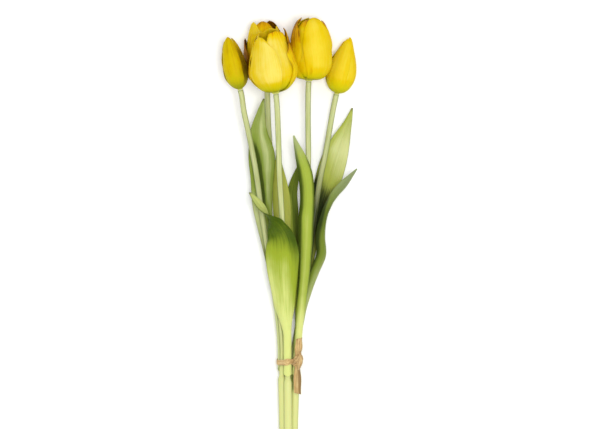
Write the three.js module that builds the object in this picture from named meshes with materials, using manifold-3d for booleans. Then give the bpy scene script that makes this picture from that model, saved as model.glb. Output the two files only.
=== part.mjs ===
// A bunch of five yellow tulips tied with raffia, lying on a table.
// Millimetres, +Z up. The stems run along Y with the heads at +Y; the origin is under the middle.
import * as THREE from "three";
import Module from "manifold-3d";

const wasm = await Module();
wasm.setup();

// ---------------------------------------------------------------- driving dimensions
const TOUCH_GAP = 0.3;            // left between two pieces that touch
const TIE_Y = -119;               // where the raffia goes round the stems
const SHEATH_RADIUS = 3.72;       // middle of a leaf's wall where it wraps its stem
const STEM_RADIUS_UPPER = 2.75;   // bare stem, and the stem inside a leaf's sheath
const STEM_RADIUS_LOWER = 4.0;    // below the lowest leaf
const STEM_TAPER = 6;             // length over which the stem thickens under a leaf
const STEM_LEAD = 6;              // straight under the head for this far
const STEM_SIDES = 8;
const STEM_ROWS = 15;             // rings above the lowest leaf's base
const TABLE_SIZE = 1200;          // the block that is cut away below the table top
const LEAF_THICKNESS = 0.7;
const SHEATH_ROWS = 4;            // rows of cells along the part that wraps the stem
const FREE_ROWS = 10;             // and along the part that stands free
const LEAF_COLUMNS = 8;
const PETAL_THICKNESS = 0.9;
const PETAL_THINNING = 0.25;      // what a petal loses in thickness by its margins, as a share
// scale is the layer's radius against the cup's, and narrowing is what it loses by the tip;
// lift is how much higher the layer starts, and spread is a petal's widest half angle.
const OUTER_PETAL = {
  rows: 7, columns: 6, scale: 1, narrowing: 0, lift: 0, spread: 57, thickness: PETAL_THICKNESS,
};
const INNER_PETAL = {
  rows: 6, columns: 4, scale: 0.91, narrowing: 0.06, lift: 1.6, spread: 54, thickness: PETAL_THICKNESS,
};
const BUD_PETAL_THICKNESS = 1.3;  // most of it sunk in the bud's core
const OUTER_BUD_PETAL = {
  ...OUTER_PETAL, scale: 0.97, spread: 58, thickness: BUD_PETAL_THICKNESS,
};
const INNER_BUD_PETAL = {
  ...INNER_PETAL, scale: 0.945, narrowing: 0, lift: 0, spread: 30, thickness: BUD_PETAL_THICKNESS,
};
const BUD_CORE_SHARE = 0.955;     // the core's radius against the bud's
const RECEPTACLE_RADIUS = 4.6;
const RECEPTACLE_DEPTH = 1.6;     // how far it reaches below the petals
const RECEPTACLE_RISE = 2.2;
const RECEPTACLE_SIDES = 10;
const BUD_CORE_SIDES = 14;
const PISTIL_SIDES = 6;
const STAMEN_COUNT = 6;
const STAMEN_SIDES = 3;
const BAND_HALF_WIDTH = 3.4;
const BAND_THICKNESS = 0.95;
const BAND_STEPS = 30;
const BAND_CLEARANCE = TOUCH_GAP + 0.2;
const BAND_PINCH = 0.15;          // the share by which the band narrows in three places
const BAND_SLIDE = 0.5;           // how far it wanders along the stems
const BAND_CREASE = 0.25;         // how far its edges and its middle fold sink
const BAND_RIDGES = [0.3, 0.7];   // where the two ridges beside the fold stand, across the band
const TAIL_THICKNESS = 0.9;
const TAIL_ROWS = 6;
const TAIL_COLUMNS = 4;
const TAIL_FOLD = 2.2;            // radians of the fold's wave from the middle to an edge
const TAIL_RIPPLE = { height: 0.35, across: 5, along: 4 };
const KNOT_SIDES = 12;
const KNOT_CREASE = { depth: 0.1, count: 5 };
const ROUGHNESS = { green: 0.5, petal: 0.45, stamen: 0.7, raffia: 0.8 };

const COLOURS = {
  petal: "#f4d22a",
  budPetal: "#dcc520",
  stem: "#cfd997",
  leafInner: "#a9bb62",
  leafOuter: "#7f9c4c",
  raffia: "#c79a5e",
  stamen: "#c9b45a",
};

// ---------------------------------------------------------------- small helpers
const vec = (x, y, z) => new THREE.Vector3(x, y, z);
const radians = THREE.MathUtils.degToRad;
const lerp = THREE.MathUtils.lerp;
const smoothstep = THREE.MathUtils.smoothstep;

function curveThrough(points) {
  return new THREE.CatmullRomCurve3(points.map(([x, y, z]) => vec(x, y, z)), false, "centripetal");
}

// A value list sampled smoothly: rows of numbers, Catmull-Rom between them, at share 0 to 1.
function sampleRows(rows, share) {
  const place = Math.min(Math.max(share, 0), 1) * (rows.length - 1);
  const index = Math.min(Math.floor(place), rows.length - 2);
  const t = place - index;
  const row = (i) => rows[Math.min(Math.max(i, 0), rows.length - 1)];
  const [a, b, c, d] = [row(index - 1), row(index), row(index + 1), row(index + 2)];
  return b.map((_, k) => {
    const slopeIn = (c[k] - a[k]) / 2;
    const slopeOut = (d[k] - b[k]) / 2;
    const t2 = t * t;
    const t3 = t2 * t;
    return (2 * t3 - 3 * t2 + 1) * b[k] + (t3 - 2 * t2 + t) * slopeIn
      + (3 * t2 - 2 * t3) * c[k] + (t3 - t2) * slopeOut;
  });
}

function geometryOf(points, triangles) {
  const geometry = new THREE.BufferGeometry().setFromPoints(points);
  geometry.setIndex(triangles.flat());
  return geometry;
}

// A closed skin over rings of points that have the same count, with a point in each end cap.
function loft(rings) {
  const count = rings[0].length;
  const points = rings.flat();
  const triangles = [];
  for (let r = 0; r < rings.length - 1; r += 1) {
    for (let i = 0; i < count; i += 1) {
      const next = (i + 1) % count;
      const [a, b] = [r * count + i, r * count + next];
      const [c, d] = [a + count, b + count];
      triangles.push([a, b, d], [a, d, c]);
    }
  }
  const middle = (ring) => ring.reduce((sum, p) => sum.add(p), vec(0, 0, 0)).divideScalar(count);
  const first = points.push(middle(rings[0])) - 1;
  const last = points.push(middle(rings.at(-1))) - 1;
  const lastStart = (rings.length - 1) * count;
  for (let i = 0; i < count; i += 1) {
    const next = (i + 1) % count;
    triangles.push([first, next, i], [last, lastStart + i, lastStart + next]);
  }
  return geometryOf(points, triangles);
}

// A thin closed blade round the surface pointAt(u, v), u in 0..1 and v in -1..1. The cells are
// split the same way on both faces. thicknessAt(u, v) is the full thickness there.
function blade(pointAt, rows, columns, thicknessAt) {
  const front = [];
  const back = [];
  const step = 1e-3;
  for (let r = 0; r <= rows; r += 1) {
    for (let c = 0; c <= columns; c += 1) {
      const u = r / rows;
      const v = (2 * c) / columns - 1;
      const [u0, u1] = [Math.max(u - step, 0), Math.min(u + step, 1)];
      const [v0, v1] = [Math.max(v - step, -1), Math.min(v + step, 1)];
      const along = pointAt(u1, v).sub(pointAt(u0, v));
      const across = pointAt(u, v1).sub(pointAt(u, v0));
      const normal = across.cross(along).normalize().multiplyScalar(thicknessAt(u, v) / 2);
      const point = pointAt(u, v);
      front.push(point.clone().add(normal));
      back.push(point.sub(normal));
    }
  }
  const width = columns + 1;
  const offset = front.length;
  const triangles = [];
  for (let r = 0; r < rows; r += 1) {
    for (let c = 0; c < columns; c += 1) {
      const a = r * width + c;
      const [b, d] = [a + 1, a + width];
      const e = d + 1;
      triangles.push([a, b, e], [a, e, d]);
      triangles.push([a + offset, e + offset, b + offset], [a + offset, d + offset, e + offset]);
    }
  }
  const rim = [];
  for (let c = 0; c < columns; c += 1) rim.push(c);
  for (let r = 0; r < rows; r += 1) rim.push(r * width + columns);
  for (let c = columns; c > 0; c -= 1) rim.push(rows * width + c);
  for (let r = rows; r > 0; r -= 1) rim.push(r * width);
  rim.forEach((a, i) => {
    const b = rim[(i + 1) % rim.length];
    triangles.push([a, a + offset, b + offset], [a, b + offset, b]);
  });
  return geometryOf([...front, ...back], triangles);
}

// ---------------------------------------------------------------- joining solids
function manifoldOf(geometry) {
  const solid = new wasm.Manifold(new wasm.Mesh({
    numProp: 3,
    vertProperties: new Float32Array(geometry.attributes.position.array),
    triVerts: new Uint32Array(geometry.index.array),
  }));
  return solid.volume() < 0 ? manifoldOf(flipped(geometry)) : solid;
}

function flipped(geometry) {
  const copy = geometry.clone();
  const index = Array.from(geometry.index.array);
  for (let i = 0; i < index.length; i += 3) [index[i], index[i + 1]] = [index[i + 1], index[i]];
  copy.setIndex(index);
  return copy;
}

function geometryFrom(solid) {
  const mesh = solid.getMesh();
  const geometry = new THREE.BufferGeometry();
  geometry.setAttribute("position", new THREE.BufferAttribute(mesh.vertProperties, 3));
  geometry.setIndex(new THREE.BufferAttribute(mesh.triVerts, 1));
  return geometry;
}

// Everything below the table top is cut away, which leaves a small flat to rest on.
function aboveTable(solid) {
  const box = new THREE.BoxGeometry(TABLE_SIZE, TABLE_SIZE, TABLE_SIZE);
  box.deleteAttribute("normal");
  box.deleteAttribute("uv");
  box.translate(0, 0, -TABLE_SIZE / 2);
  return solid.subtract(manifoldOf(mergedVertices(box)));
}

function mergedVertices(geometry) {
  const places = new Map();
  const points = [];
  const position = geometry.attributes.position;
  const index = Array.from(geometry.index.array).map((i) => {
    const point = vec(position.getX(i), position.getY(i), position.getZ(i));
    const key = `${point.x},${point.y},${point.z}`;
    if (!places.has(key)) places.set(key, points.push(point) - 1);
    return places.get(key);
  });
  const merged = new THREE.BufferGeometry().setFromPoints(points);
  merged.setIndex(index);
  return merged;
}

// One body from many: sealed hollows come out as inside-out bodies and are left filled, and only
// the largest body is kept.
function fused(geometries) {
  const joined = geometries.map(manifoldOf).reduce((sum, solid) => sum.add(solid));
  const bodies = aboveTable(joined).decompose();
  return geometryFrom(bodies.reduce((best, body) => (body.volume() > best.volume() ? body : best)));
}

const bunch = new THREE.Group();

function addPiece(name, geometry, colour, roughness) {
  const material = new THREE.MeshStandardMaterial({ color: colour, roughness, metalness: 0 });
  const mesh = new THREE.Mesh(geometry, material);
  mesh.name = name;
  bunch.add(mesh);
}

// ---------------------------------------------------------------- heads
// base and tip give the axis. profile is [height, radius] up the cup. A petal has an azimuth
// (0 up, 90 to the right), its lean at the tip, half width, reach along the profile, how far
// its corners drop below its tip, and how far the tip flares out.
const HEADS = {
  front: {
    base: [-13.2, 150.5, 66], tip: [-19.6, 214, 67],
    profile: [[0, 3], [0.8, 8], [3, 13], [8, 18.5], [14, 22.6], [20, 24.2], [27, 23.6], [36, 21.4],
      [46, 18.4], [54, 15.6], [60, 12.6], [64, 9.5]],
    outer: [[-39, -4, 25, 0.87, 0.1, 1], [118, -20, 25, 0.98, 0.2, 4], [228, 0, 25, 0.95, 0.16, 0]],
    inner: [[42, -12, 20, 0.94, 0.05, 1.5], [168, 4, 22, 0.99, 0.07, 1], [-74, -6, 18, 0.92, 0.1, 0]],
  },
  back: {
    base: [-22, 157, 20.8], tip: [-24.6, 221, 22.4],
    profile: [[0, 3], [0.8, 7.5], [3, 12], [8, 17], [15, 20.6], [22, 21.8], [31, 21.4], [42, 19.6],
      [50, 17.6], [57, 15], [62, 12], [65, 9]],
    outer: [[-102, 8, 22, 0.75, 0.12, 2], [16, -24, 23, 0.985, 0.1, 0], [138, 6, 23, 0.99, 0.14, 0]],
    inner: [[-42, -26, 25, 0.98, 0.08, 3], [78, 0, 20, 0.9, 0.13, 0], [198, 0, 19, 0.98, 0.15, 0]],
  },
  right: {
    base: [19.8, 163.3, 35], tip: [23.6, 225, 35.5],
    profile: [[0, 3], [0.6, 9], [2.5, 14], [7, 17.8], [14, 20.6], [22, 21.4], [32, 20.4],
      [42, 19.8], [50, 17.6], [57, 13.6], [62, 7]],
    outer: [[46, -32, 21, 1, 0.12, 0], [164, 0, 23, 0.97, 0.14, 0], [-80, -12, 22, 0.98, 0.08, 3]],
    inner: [[-24, 2, 20, 0.94, 0.08, 0], [104, -6, 20, 0.94, 0.12, 0], [218, 0, 19, 0.98, 0.12, 0]],
  },
};

const BUDS = {
  left: {
    base: [-49, 154.5, 38.5], tip: [-61, 205.5, 39.5],
    profile: [[0, 2.6], [1.5, 5], [5, 8.4], [11, 11.2], [19, 12.1], [28, 11.4], [37, 9.6], [45, 6.8],
      [50, 4], [52.8, 1.2]],
    outer: [[-30, 6, 13.6, 1, 0.02, 0], [90, 4, 13, 0.95, 0.03, 0], [210, 4, 13, 0.93, 0.03, 0]],
    inner: [[30, 3, 9, 0.92, 0.06, 0], [150, 0, 9, 0.92, 0.06, 0], [270, 0, 9, 0.92, 0.06, 0]],
  },
  right: {
    base: [47.8, 150.5, 14.05], tip: [60.4, 206, 15.2],
    profile: [[0, 2.6], [1.2, 6], [4.5, 10], [11, 13.4], [20, 14.7], [29, 13.2], [38, 10], [46, 6.6],
      [52, 3.8], [56.8, 1]],
    outer: [[-36, 8, 16, 0.96, 0.02, 0], [84, -40, 16, 1, 0.02, 0], [204, 4, 16, 0.93, 0.03, 0]],
    inner: [[24, 4, 10, 0.92, 0.06, 0], [144, 0, 10, 0.92, 0.06, 0], [264, 0, 10, 0.92, 0.06, 0]],
  },
};

const PETAL_WIDTHS = [[0.34], [0.58], [0.8], [0.95], [1], [0.96], [0.84], [0.66], [0.42]];
const BUD_WIDTHS = [[0.4], [0.7], [0.92], [1], [0.97], [0.85], [0.68], [0.48], [0.3]];
const PETAL_OVERLAP = 0.55;       // one margin lies over the next petal, the other under
const OVERLAP_FULL = 0.3;         // the share of a petal's length where the overlap is full
const CORNER_POWER = 2.3;
const FLARE_POWER = 5;

function headFrame({ base, tip, profile }) {
  const start = vec(...base);
  const axis = vec(...tip).sub(start).normalize();
  const up = vec(0, 0, 1).addScaledVector(axis, -axis.z).normalize();
  const right = axis.clone().cross(up);
  const outline = curveThrough(profile.map(([height, radius]) => [radius, height, 0]));
  const at = (height, radius, azimuth) => start.clone().addScaledVector(axis, height)
    .addScaledVector(up, radius * Math.cos(azimuth))
    .addScaledVector(right, radius * Math.sin(azimuth));
  return { start, axis, outline, at };
}

function petalGeometry(frame, petal, layer, widths) {
  const [azimuth, lean, halfWidth, reach, drop, flare] = petal;
  const pointAt = (u, v) => {
    const share = reach * u * (1 - drop * Math.abs(v) ** CORNER_POWER * u * u);
    const { x, y } = frame.outline.getPointAt(Math.min(share, 1));
    const scale = layer.scale - layer.narrowing * u;
    const overlap = PETAL_OVERLAP * v * smoothstep(u, 0, OVERLAP_FULL);
    const radius = x * scale + overlap + flare * u ** FLARE_POWER;
    const spread = (halfWidth * sampleRows(widths, u)[0]) / Math.max(radius, RECEPTACLE_RADIUS);
    const angle = radians(azimuth + lean * u * u) + v * Math.min(spread, radians(layer.spread));
    return frame.at(y + layer.lift * (1 - u), radius, angle);
  };
  const thicknessAt = (u, v) => layer.thickness * (1 - PETAL_THINNING * v * v);
  return blade(pointAt, layer.rows, layer.columns, thicknessAt);
}

function turned(frame, outline, sides) {
  const rings = outline.map(([height, radius]) => Array.from({ length: sides }, (_, i) =>
    frame.at(height, radius, (2 * Math.PI * i) / sides)));
  return loft(rings);
}

function petalsOf(head, frame, widths, outerLayer, innerLayer) {
  const outer = head.outer.map((petal) => petalGeometry(frame, petal, outerLayer, widths));
  const inner = head.inner.map((petal) => petalGeometry(frame, petal, innerLayer, widths));
  return [...outer, ...inner];
}

function bloomGeometry(head) {
  const frame = headFrame(head);
  const receptacle = turned(frame, [
    [-RECEPTACLE_DEPTH, STEM_RADIUS_UPPER],
    [-RECEPTACLE_DEPTH / 3, RECEPTACLE_RADIUS * 0.9],
    [RECEPTACLE_RISE / 2, RECEPTACLE_RADIUS],
    [RECEPTACLE_RISE, RECEPTACLE_RADIUS * 0.75],
  ], RECEPTACLE_SIDES);
  return fused([receptacle, ...petalsOf(head, frame, PETAL_WIDTHS, OUTER_PETAL, INNER_PETAL)]);
}

function budGeometry(head) {
  const frame = headFrame(head);
  const coreHeights = head.profile.slice(0, -1);
  const core = turned(frame, [
    [-RECEPTACLE_DEPTH, STEM_RADIUS_UPPER],
    ...coreHeights.map(([height, radius]) => [height, radius * BUD_CORE_SHARE]),
  ], BUD_CORE_SIDES);
  return fused([core, ...petalsOf(head, frame, BUD_WIDTHS, OUTER_BUD_PETAL, INNER_BUD_PETAL)]);
}

// Heights and radii up from the foot; a stamen's rows are height, distance from the axis and
// half thickness, with the thin filament first and the anther above it.
const PISTIL_FOOT = [[0, 3], [1.2, 2.6]];
const PISTIL = [[0.4, 1.9], [8, 2.3], [17, 1.8], [19, 3.1], [21, 2.2]];
const STAMEN = [[0.4, 2.1, 0.6], [7, 5.2, 0.6], [8, 5.6, 1.1], [17, 6.6, 0.8]];

// A pistil with a wide stigma and stamens round it, on a small foot over the receptacle.
function pistilGeometry(head) {
  const frame = headFrame(head);
  const footStart = RECEPTACLE_RISE + 1.5 * TOUCH_GAP;
  const raised = (outline) => outline.map(([height, radius]) => [footStart + height, radius]);
  const foot = turned(frame, raised(PISTIL_FOOT), PISTIL_SIDES);
  const pistil = turned(frame, raised(PISTIL), PISTIL_SIDES);
  const stamens = Array.from({ length: STAMEN_COUNT }, (_, i) => {
    const azimuth = (Math.PI * (2 * i + 1)) / STAMEN_COUNT;
    const rings = STAMEN.map(([height, away, thick]) => Array.from({ length: STAMEN_SIDES }, (_, side) => {
      const turn = (2 * Math.PI * side) / STAMEN_SIDES;
      const angle = azimuth + (thick * Math.sin(turn)) / away;
      return frame.at(footStart + height, away + thick * Math.cos(turn), angle);
    }));
    return loft(rings);
  });
  return fused([foot, pistil, ...stamens]);
}

// ---------------------------------------------------------------- stems
// Centre lines from under the head to the cut end, and the place where the lowest leaf starts.
const STEMS = {
  leftBud: {
    head: BUDS.left, leafBase: -131,
    route: [[-45.3, 133, 38], [-41, 113, 36.5], [-36.9, 93, 34.5], [-33.2, 73, 32], [-30.3, 53, 29.5],
      [-27, 28, 26.3], [-21, -7, 21.5], [-14, -47, 17], [-9.2, -80, 14.4], [-7.4, -105, 13.3],
      [-7.3, TIE_Y, 13.2], [-6.6, -150, 12.9], [-4.8, -222, 12.5]],
  },
  backBloom: {
    head: HEADS.back, leafBase: -139,
    route: [[-21.2, 133, 19.4], [-20.3, 113, 17.4], [-19, 93, 15.1], [-18.6, 63, 12.3], [-19.2, 28, 9.7],
      [-16.8, -7, 7.8], [-9.8, -57, 6.1], [-5.8, -95, 5.5], [-4.2, TIE_Y, 5.4], [-4.2, -150, 5.1],
      [-4.2, -224, 4.1]],
  },
  frontBloom: {
    head: HEADS.front, leafBase: -134,
    route: [[-11.7, 133, 64], [-10.9, 113, 60], [-10.2, 93, 55], [-9.2, 63, 47.5], [-7.4, 33, 40.5],
      [-6, 3, 34], [-4.2, -27, 28.5], [-2.4, -57, 24], [-1.6, -92, 20.2], [-1.4, TIE_Y, 19.1],
      [-1.1, -150, 19.2], [-0.7, -221, 19.9]],
  },
  rightBloom: {
    head: HEADS.right, leafBase: -144,
    route: [[19.1, 145, 34.5], [19, 123, 32.6], [19.3, 85, 28.4], [18.4, 53, 24.8], [17, 23, 21.4],
      [15.4, -7, 18.6], [12, -57, 15.2], [9.2, -95, 13.6], [7.3, TIE_Y, 13.6], [6, -150, 13.3],
      [3.8, -223.5, 12.7]],
  },
  rightBud: {
    head: BUDS.right, leafBase: -141,
    route: [[44, 133, 14], [40.5, 113, 14], [36.6, 90, 13.6], [31, 63, 12.7], [27.2, 38, 11.4],
      [23.6, 13, 9.8], [20, -17, 8], [15, -57, 6.2], [7.6, -97, 5.5], [4.6, TIE_Y, 5.4],
      [4.3, -150, 5.1], [4.1, -219, 4.1]],
  },
};

for (const stem of Object.values(STEMS)) {
  const { start, axis } = headFrame(stem.head);
  const top = start.clone().addScaledVector(axis, -RECEPTACLE_DEPTH - TOUCH_GAP);
  const lead = top.clone().addScaledVector(axis, -STEM_LEAD);
  stem.curve = curveThrough([top.toArray(), lead.toArray(), ...stem.route]);
}

// The share of the curve at which it passes a given Y. Y falls steadily along it.
function shareAtY(curve, y) {
  let [low, high] = [0, 1];
  for (let i = 0; i < 30; i += 1) {
    const middle = (low + high) / 2;
    if (curve.getPoint(middle).y > y) low = middle;
    else high = middle;
  }
  return (low + high) / 2;
}

// T points from the cut end to the head, X to the right and Z up, all square to each other.
function stemFrame(curve, share) {
  const T = curve.getTangent(share).negate();
  const Z = vec(0, 0, 1).addScaledVector(T, -T.z).normalize();
  return { P: curve.getPoint(share), T, Z, X: T.clone().cross(Z) };
}

function stemGeometry({ curve, leafBase }) {
  const nodeShare = shareAtY(curve, leafBase - TOUCH_GAP);
  const taperShare = shareAtY(curve, leafBase - STEM_TAPER);
  const above = Array.from({ length: STEM_ROWS }, (_, i) => (nodeShare * i) / (STEM_ROWS - 1));
  const below = [taperShare, lerp(taperShare, 1, 0.5), 1];
  const rings = [...above, ...below].map((share) => {
    const { P, Z, X } = stemFrame(curve, share);
    const radius = share <= nodeShare ? STEM_RADIUS_UPPER : STEM_RADIUS_LOWER;
    return Array.from({ length: STEM_SIDES }, (_, i) => {
      const angle = (2 * Math.PI * (i + 0.5)) / STEM_SIDES;
      return P.clone().addScaledVector(X, radius * Math.cos(angle))
        .addScaledVector(Z, radius * Math.sin(angle));
    });
  });
  return fused([loft(rings)]);
}

// ---------------------------------------------------------------- leaves
// A leaf wraps its stem from its base to sheathTop, wrap degrees to each side of its midrib, and
// then follows the free stations: [x, y, z, half width, roll, curl]. Roll 0 has the inner face
// up, 90 to the right. Curl is how far each half bends from midrib to margin, in degrees.
const LEAVES = {
  leaf_of_left_bud: {
    stem: "leftBud", base: -131, sheathTop: -62, roll: 0, wrap: 150, wave: 1.1,
    free: [[-16, -32, 14.5, 8.6, 0, 118], [-19.6, -8, 17, 8, -4, 80], [-23.6, 16, 18.6, 8.8, -6, 55],
      [-26.5, 40, 19.8, 11, -8, 42], [-26.2, 64, 21.4, 12.7, -10, 40], [-26.8, 88, 23.6, 14.2, -8, 38],
      [-30, 110, 25.4, 9.4, -6, 30], [-28, 130, 26.4, 4.4, -4, 24], [-25.2, 144.3, 27, 0.8, 0, 20]],
  },
  leaf_of_back_bloom: {
    stem: "backBloom", base: -139, sheathTop: -70, roll: -40, wrap: 150, wave: 0.7,
    free: [[-8.2, -42, 2.8, 9, -38, 100], [-7.4, -20, 3.2, 9, -32, 70], [-5.2, 2, 3.6, 9.6, -26, 48],
      [-5.4, 24, 4.4, 10.4, -22, 38], [-6.6, 42, 5.4, 9.8, -18, 34], [-8.6, 60, 6.8, 7.6, -14, 28],
      [-10.6, 78, 8.4, 4.2, -8, 22], [-11, 93, 9.6, 0.8, 0, 18]],
  },
  leaf_of_front_bloom: {
    stem: "frontBloom", base: -134, sheathTop: -92, roll: 180, wrap: 150, wave: 1.2,
    free: [[-3.7, -70, 27.8, 12.7, 180, 82], [-5, -50, 30.8, 15.4, 180, 66],
      [-6.2, -30, 34.8, 17.8, 180, 53], [-6.8, -12, 39, 19, 180, 50], [-7.8, 4, 42.6, 15.2, 180, 46],
      [-13, 15, 44.4, 11, 176, 42], [-19.5, 24, 45.4, 6.6, 104, 38], [-26.4, 33.5, 44.6, 5, 42, 34],
      [-33, 42.5, 43, 3.4, 14, 28], [-39.6, 50.6, 41.4, 0.8, 6, 20]],
  },
  front_leaf_of_right_bloom: {
    stem: "rightBloom", base: -136, sheathTop: -86, roll: 184, wrap: 80, wave: 0.8,
    free: [[12.6, -57, 19.8, 6.8, 182, 76], [15, -32, 23, 7.8, 180, 76], [16.4, -4, 27.2, 9, 180, 64],
      [17, 22, 30.6, 9, 180, 58], [18.2, 46, 33.6, 8.4, 180, 56], [16.4, 68, 36, 8.4, 180, 52],
      [11.6, 86, 37.4, 5.8, 182, 42], [7.6, 98, 38, 3, 184, 32], [4.6, 107.4, 38.2, 0.8, 184, 20]],
  },
  back_leaf_of_right_bloom: {
    stem: "rightBloom", base: -144, sheathTop: -86, roll: 4, wrap: 80, wave: 0.6,
    free: [[9, -60, 10.6, 4.8, 12, 66], [7.4, -36, 7.4, 5.8, 8, 46], [6.2, -10, 4.6, 6.2, 4, 30],
      [4.6, 12, 2.6, 5.8, -2, 22], [3.6, 32, 2.2, 6, -4, 18], [3.2, 50, 2.6, 5.2, -4, 18],
      [6.6, 66, 3.6, 3.6, -4, 18], [10.5, 79, 4.8, 0.8, 0, 16]],
  },
  inner_leaf_of_right_bud: {
    stem: "rightBud", base: -141, sheathTop: -40, roll: 14, wrap: 80, wave: 1.3,
    free: [[21, -12, 4, 6.4, 8, 78], [25.4, 10, 4, 7.4, 2, 64], [29.6, 30, 4.4, 10, -4, 40],
      [35, 48, 5.2, 12.6, -8, 26], [40.4, 66, 6.2, 13.8, -10, 20], [45.8, 84, 7.6, 13, -10, 18],
      [52, 102, 9.6, 9.6, -10, 18], [58.8, 120, 11.6, 4.4, -8, 18], [63.3, 135, 12.8, 0.8, 0, 16]],
  },
  outer_leaf_of_right_bud: {
    stem: "rightBud", base: -131, sheathTop: -66, roll: -162, wrap: 80, wave: 0.9,
    free: [[22.3, -44, 11.5, 5.8, -142, 74], [28.4, -28, 12, 7.4, -136, 66], [34.6, -12, 13.6, 8.4, -132, 58],
      [34, 6, 15.4, 8, -126, 52], [36, 22, 17.4, 7.2, -120, 46], [39.8, 36, 19.6, 6.8, -126, 38],
      [47, 49, 22, 6.2, -134, 30], [57, 61, 24, 4.4, -140, 24], [68, 74.2, 25.4, 0.8, -140, 18]],
  },
};
const BASE_CUT = 0.035;           // how far the margins start above the midrib, as a share
const BASE_CUT_POWER = 8;
const WAVES_ALONG = 3.2;          // waves of the margin from base to tip
const WAVE_SKEW = 0.23;           // the part of a wave by which one margin leads the other
const WAVE_START = [0.4, 0.65];   // the wave grows between these shares of the length
const WAVE_END = 0.15;            // and fades over this share before the tip

function leafGeometry({ stem, base, sheathTop, roll, wrap, wave, free }) {
  const { curve } = STEMS[stem];
  const sheathWidth = SHEATH_RADIUS * radians(wrap);
  const sheathStation = (y) => {
    const { P, Z, X } = stemFrame(curve, shareAtY(curve, y));
    const inward = Z.clone().multiplyScalar(Math.cos(radians(roll)))
      .addScaledVector(X, Math.sin(radians(roll)));
    return [...P.addScaledVector(inward, -SHEATH_RADIUS).toArray(), sheathWidth, roll, wrap];
  };
  const opening = [sheathStation(sheathTop - 20), sheathStation(sheathTop), ...free];
  const sheathShare = SHEATH_ROWS / (SHEATH_ROWS + FREE_ROWS);
  const stationAt = (u) => {
    if (u <= sheathShare) return sheathStation(lerp(base, sheathTop, u / sheathShare));
    const share = (u - sheathShare) / (1 - sheathShare);
    return sampleRows(opening, lerp(1 / (opening.length - 1), 1, share));
  };
  const pointAt = (u, v) => {
    const cut = u + BASE_CUT * (1 - u) ** BASE_CUT_POWER * Math.abs(v);
    const [x, y, z, halfWidth, turn, curl] = stationAt(cut);
    const step = 2e-3;
    const ahead = vec(...stationAt(Math.min(cut + step, 1)));
    const T = ahead.sub(vec(...stationAt(Math.max(cut - step, 0)))).normalize();
    const Z = vec(0, 0, 1).addScaledVector(T, -T.z).normalize();
    const X = T.clone().cross(Z);
    const [cos, sin] = [Math.cos(radians(turn)), Math.sin(radians(turn))];
    const N = Z.clone().multiplyScalar(cos).addScaledVector(X, sin);
    const B = X.clone().multiplyScalar(cos).addScaledVector(Z, -sin);
    const bend = radians(Math.max(curl, 1));
    const ring = halfWidth / bend;
    const open = smoothstep(u, ...WAVE_START) * smoothstep(1 - u, 0, WAVE_END);
    const phase = 2 * Math.PI * (WAVES_ALONG * u + WAVE_SKEW * v);
    const ripple = wave * open * Math.abs(v) ** 3 * Math.sin(phase);
    return vec(x, y, z).addScaledVector(B, ring * Math.sin(v * bend))
      .addScaledVector(N, ring * (1 - Math.cos(v * bend)) + ripple);
  };
  const rows = SHEATH_ROWS + FREE_ROWS;
  return fused([blade(pointAt, rows, LEAF_COLUMNS, () => LEAF_THICKNESS)]);
}

// ---------------------------------------------------------------- raffia tie
const SHEATH_OUTER = SHEATH_RADIUS + LEAF_THICKNESS / 2;

// The band's way round the stems at a given Y: for each direction the stem that reaches furthest.
function bandPoint(angle, clearance, y) {
  const [cos, sin] = [Math.cos(angle), Math.sin(angle)];
  const centres = Object.values(STEMS).map(({ curve }) => curve.getPoint(shareAtY(curve, y)));
  const reach = ({ x, z }) => x * cos + z * sin;
  const far = centres.reduce((best, centre) => (reach(centre) > reach(best) ? centre : best));
  const radius = SHEATH_OUTER + clearance;
  return vec(far.x + radius * cos, y, far.z + radius * sin);
}

function bandGeometry() {
  const sections = Array.from({ length: BAND_STEPS }, (_, i) => {
    const angle = (2 * Math.PI * i) / BAND_STEPS;
    const halfWidth = BAND_HALF_WIDTH * (1 - BAND_PINCH + BAND_PINCH * Math.cos(3 * angle + 1));
    const centre = TIE_Y + BAND_SLIDE * Math.sin(2 * angle);
    const [low, high] = [centre - halfWidth, centre + halfWidth];
    const [lowRidge, highRidge] = BAND_RIDGES.map((share) => lerp(low, high, share));
    const outside = BAND_CLEARANCE + BAND_THICKNESS;
    const sunk = outside - BAND_CREASE;
    return [
      bandPoint(angle, BAND_CLEARANCE, low), bandPoint(angle, sunk, low),
      bandPoint(angle, outside, lowRidge), bandPoint(angle, sunk, centre),
      bandPoint(angle, outside, highRidge), bandPoint(angle, sunk, high),
      bandPoint(angle, BAND_CLEARANCE, high),
    ];
  });
  const count = sections[0].length;
  const triangles = [];
  sections.forEach((_, s) => {
    const next = (s + 1) % sections.length;
    for (let i = 0; i < count; i += 1) {
      const j = (i + 1) % count;
      const [a, b, c, d] = [s * count + i, s * count + j, next * count + i, next * count + j];
      triangles.push([a, b, d], [a, d, c]);
    }
  });
  return geometryOf(sections.flat(), triangles);
}

// A folded strip of raffia: stations [x, y, z, half width, fold height] with the fold along it.
function stripGeometry(stations) {
  const pointAt = (u, v) => {
    const [x, y, z, halfWidth, fold] = sampleRows(stations, u);
    const ripple = TAIL_RIPPLE.height * Math.sin(TAIL_RIPPLE.across * v + TAIL_RIPPLE.along * u);
    return vec(x + v * halfWidth, y, z + fold * Math.cos(v * TAIL_FOLD) + ripple);
  };
  return blade(pointAt, TAIL_ROWS, TAIL_COLUMNS, () => TAIL_THICKNESS);
}

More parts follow.
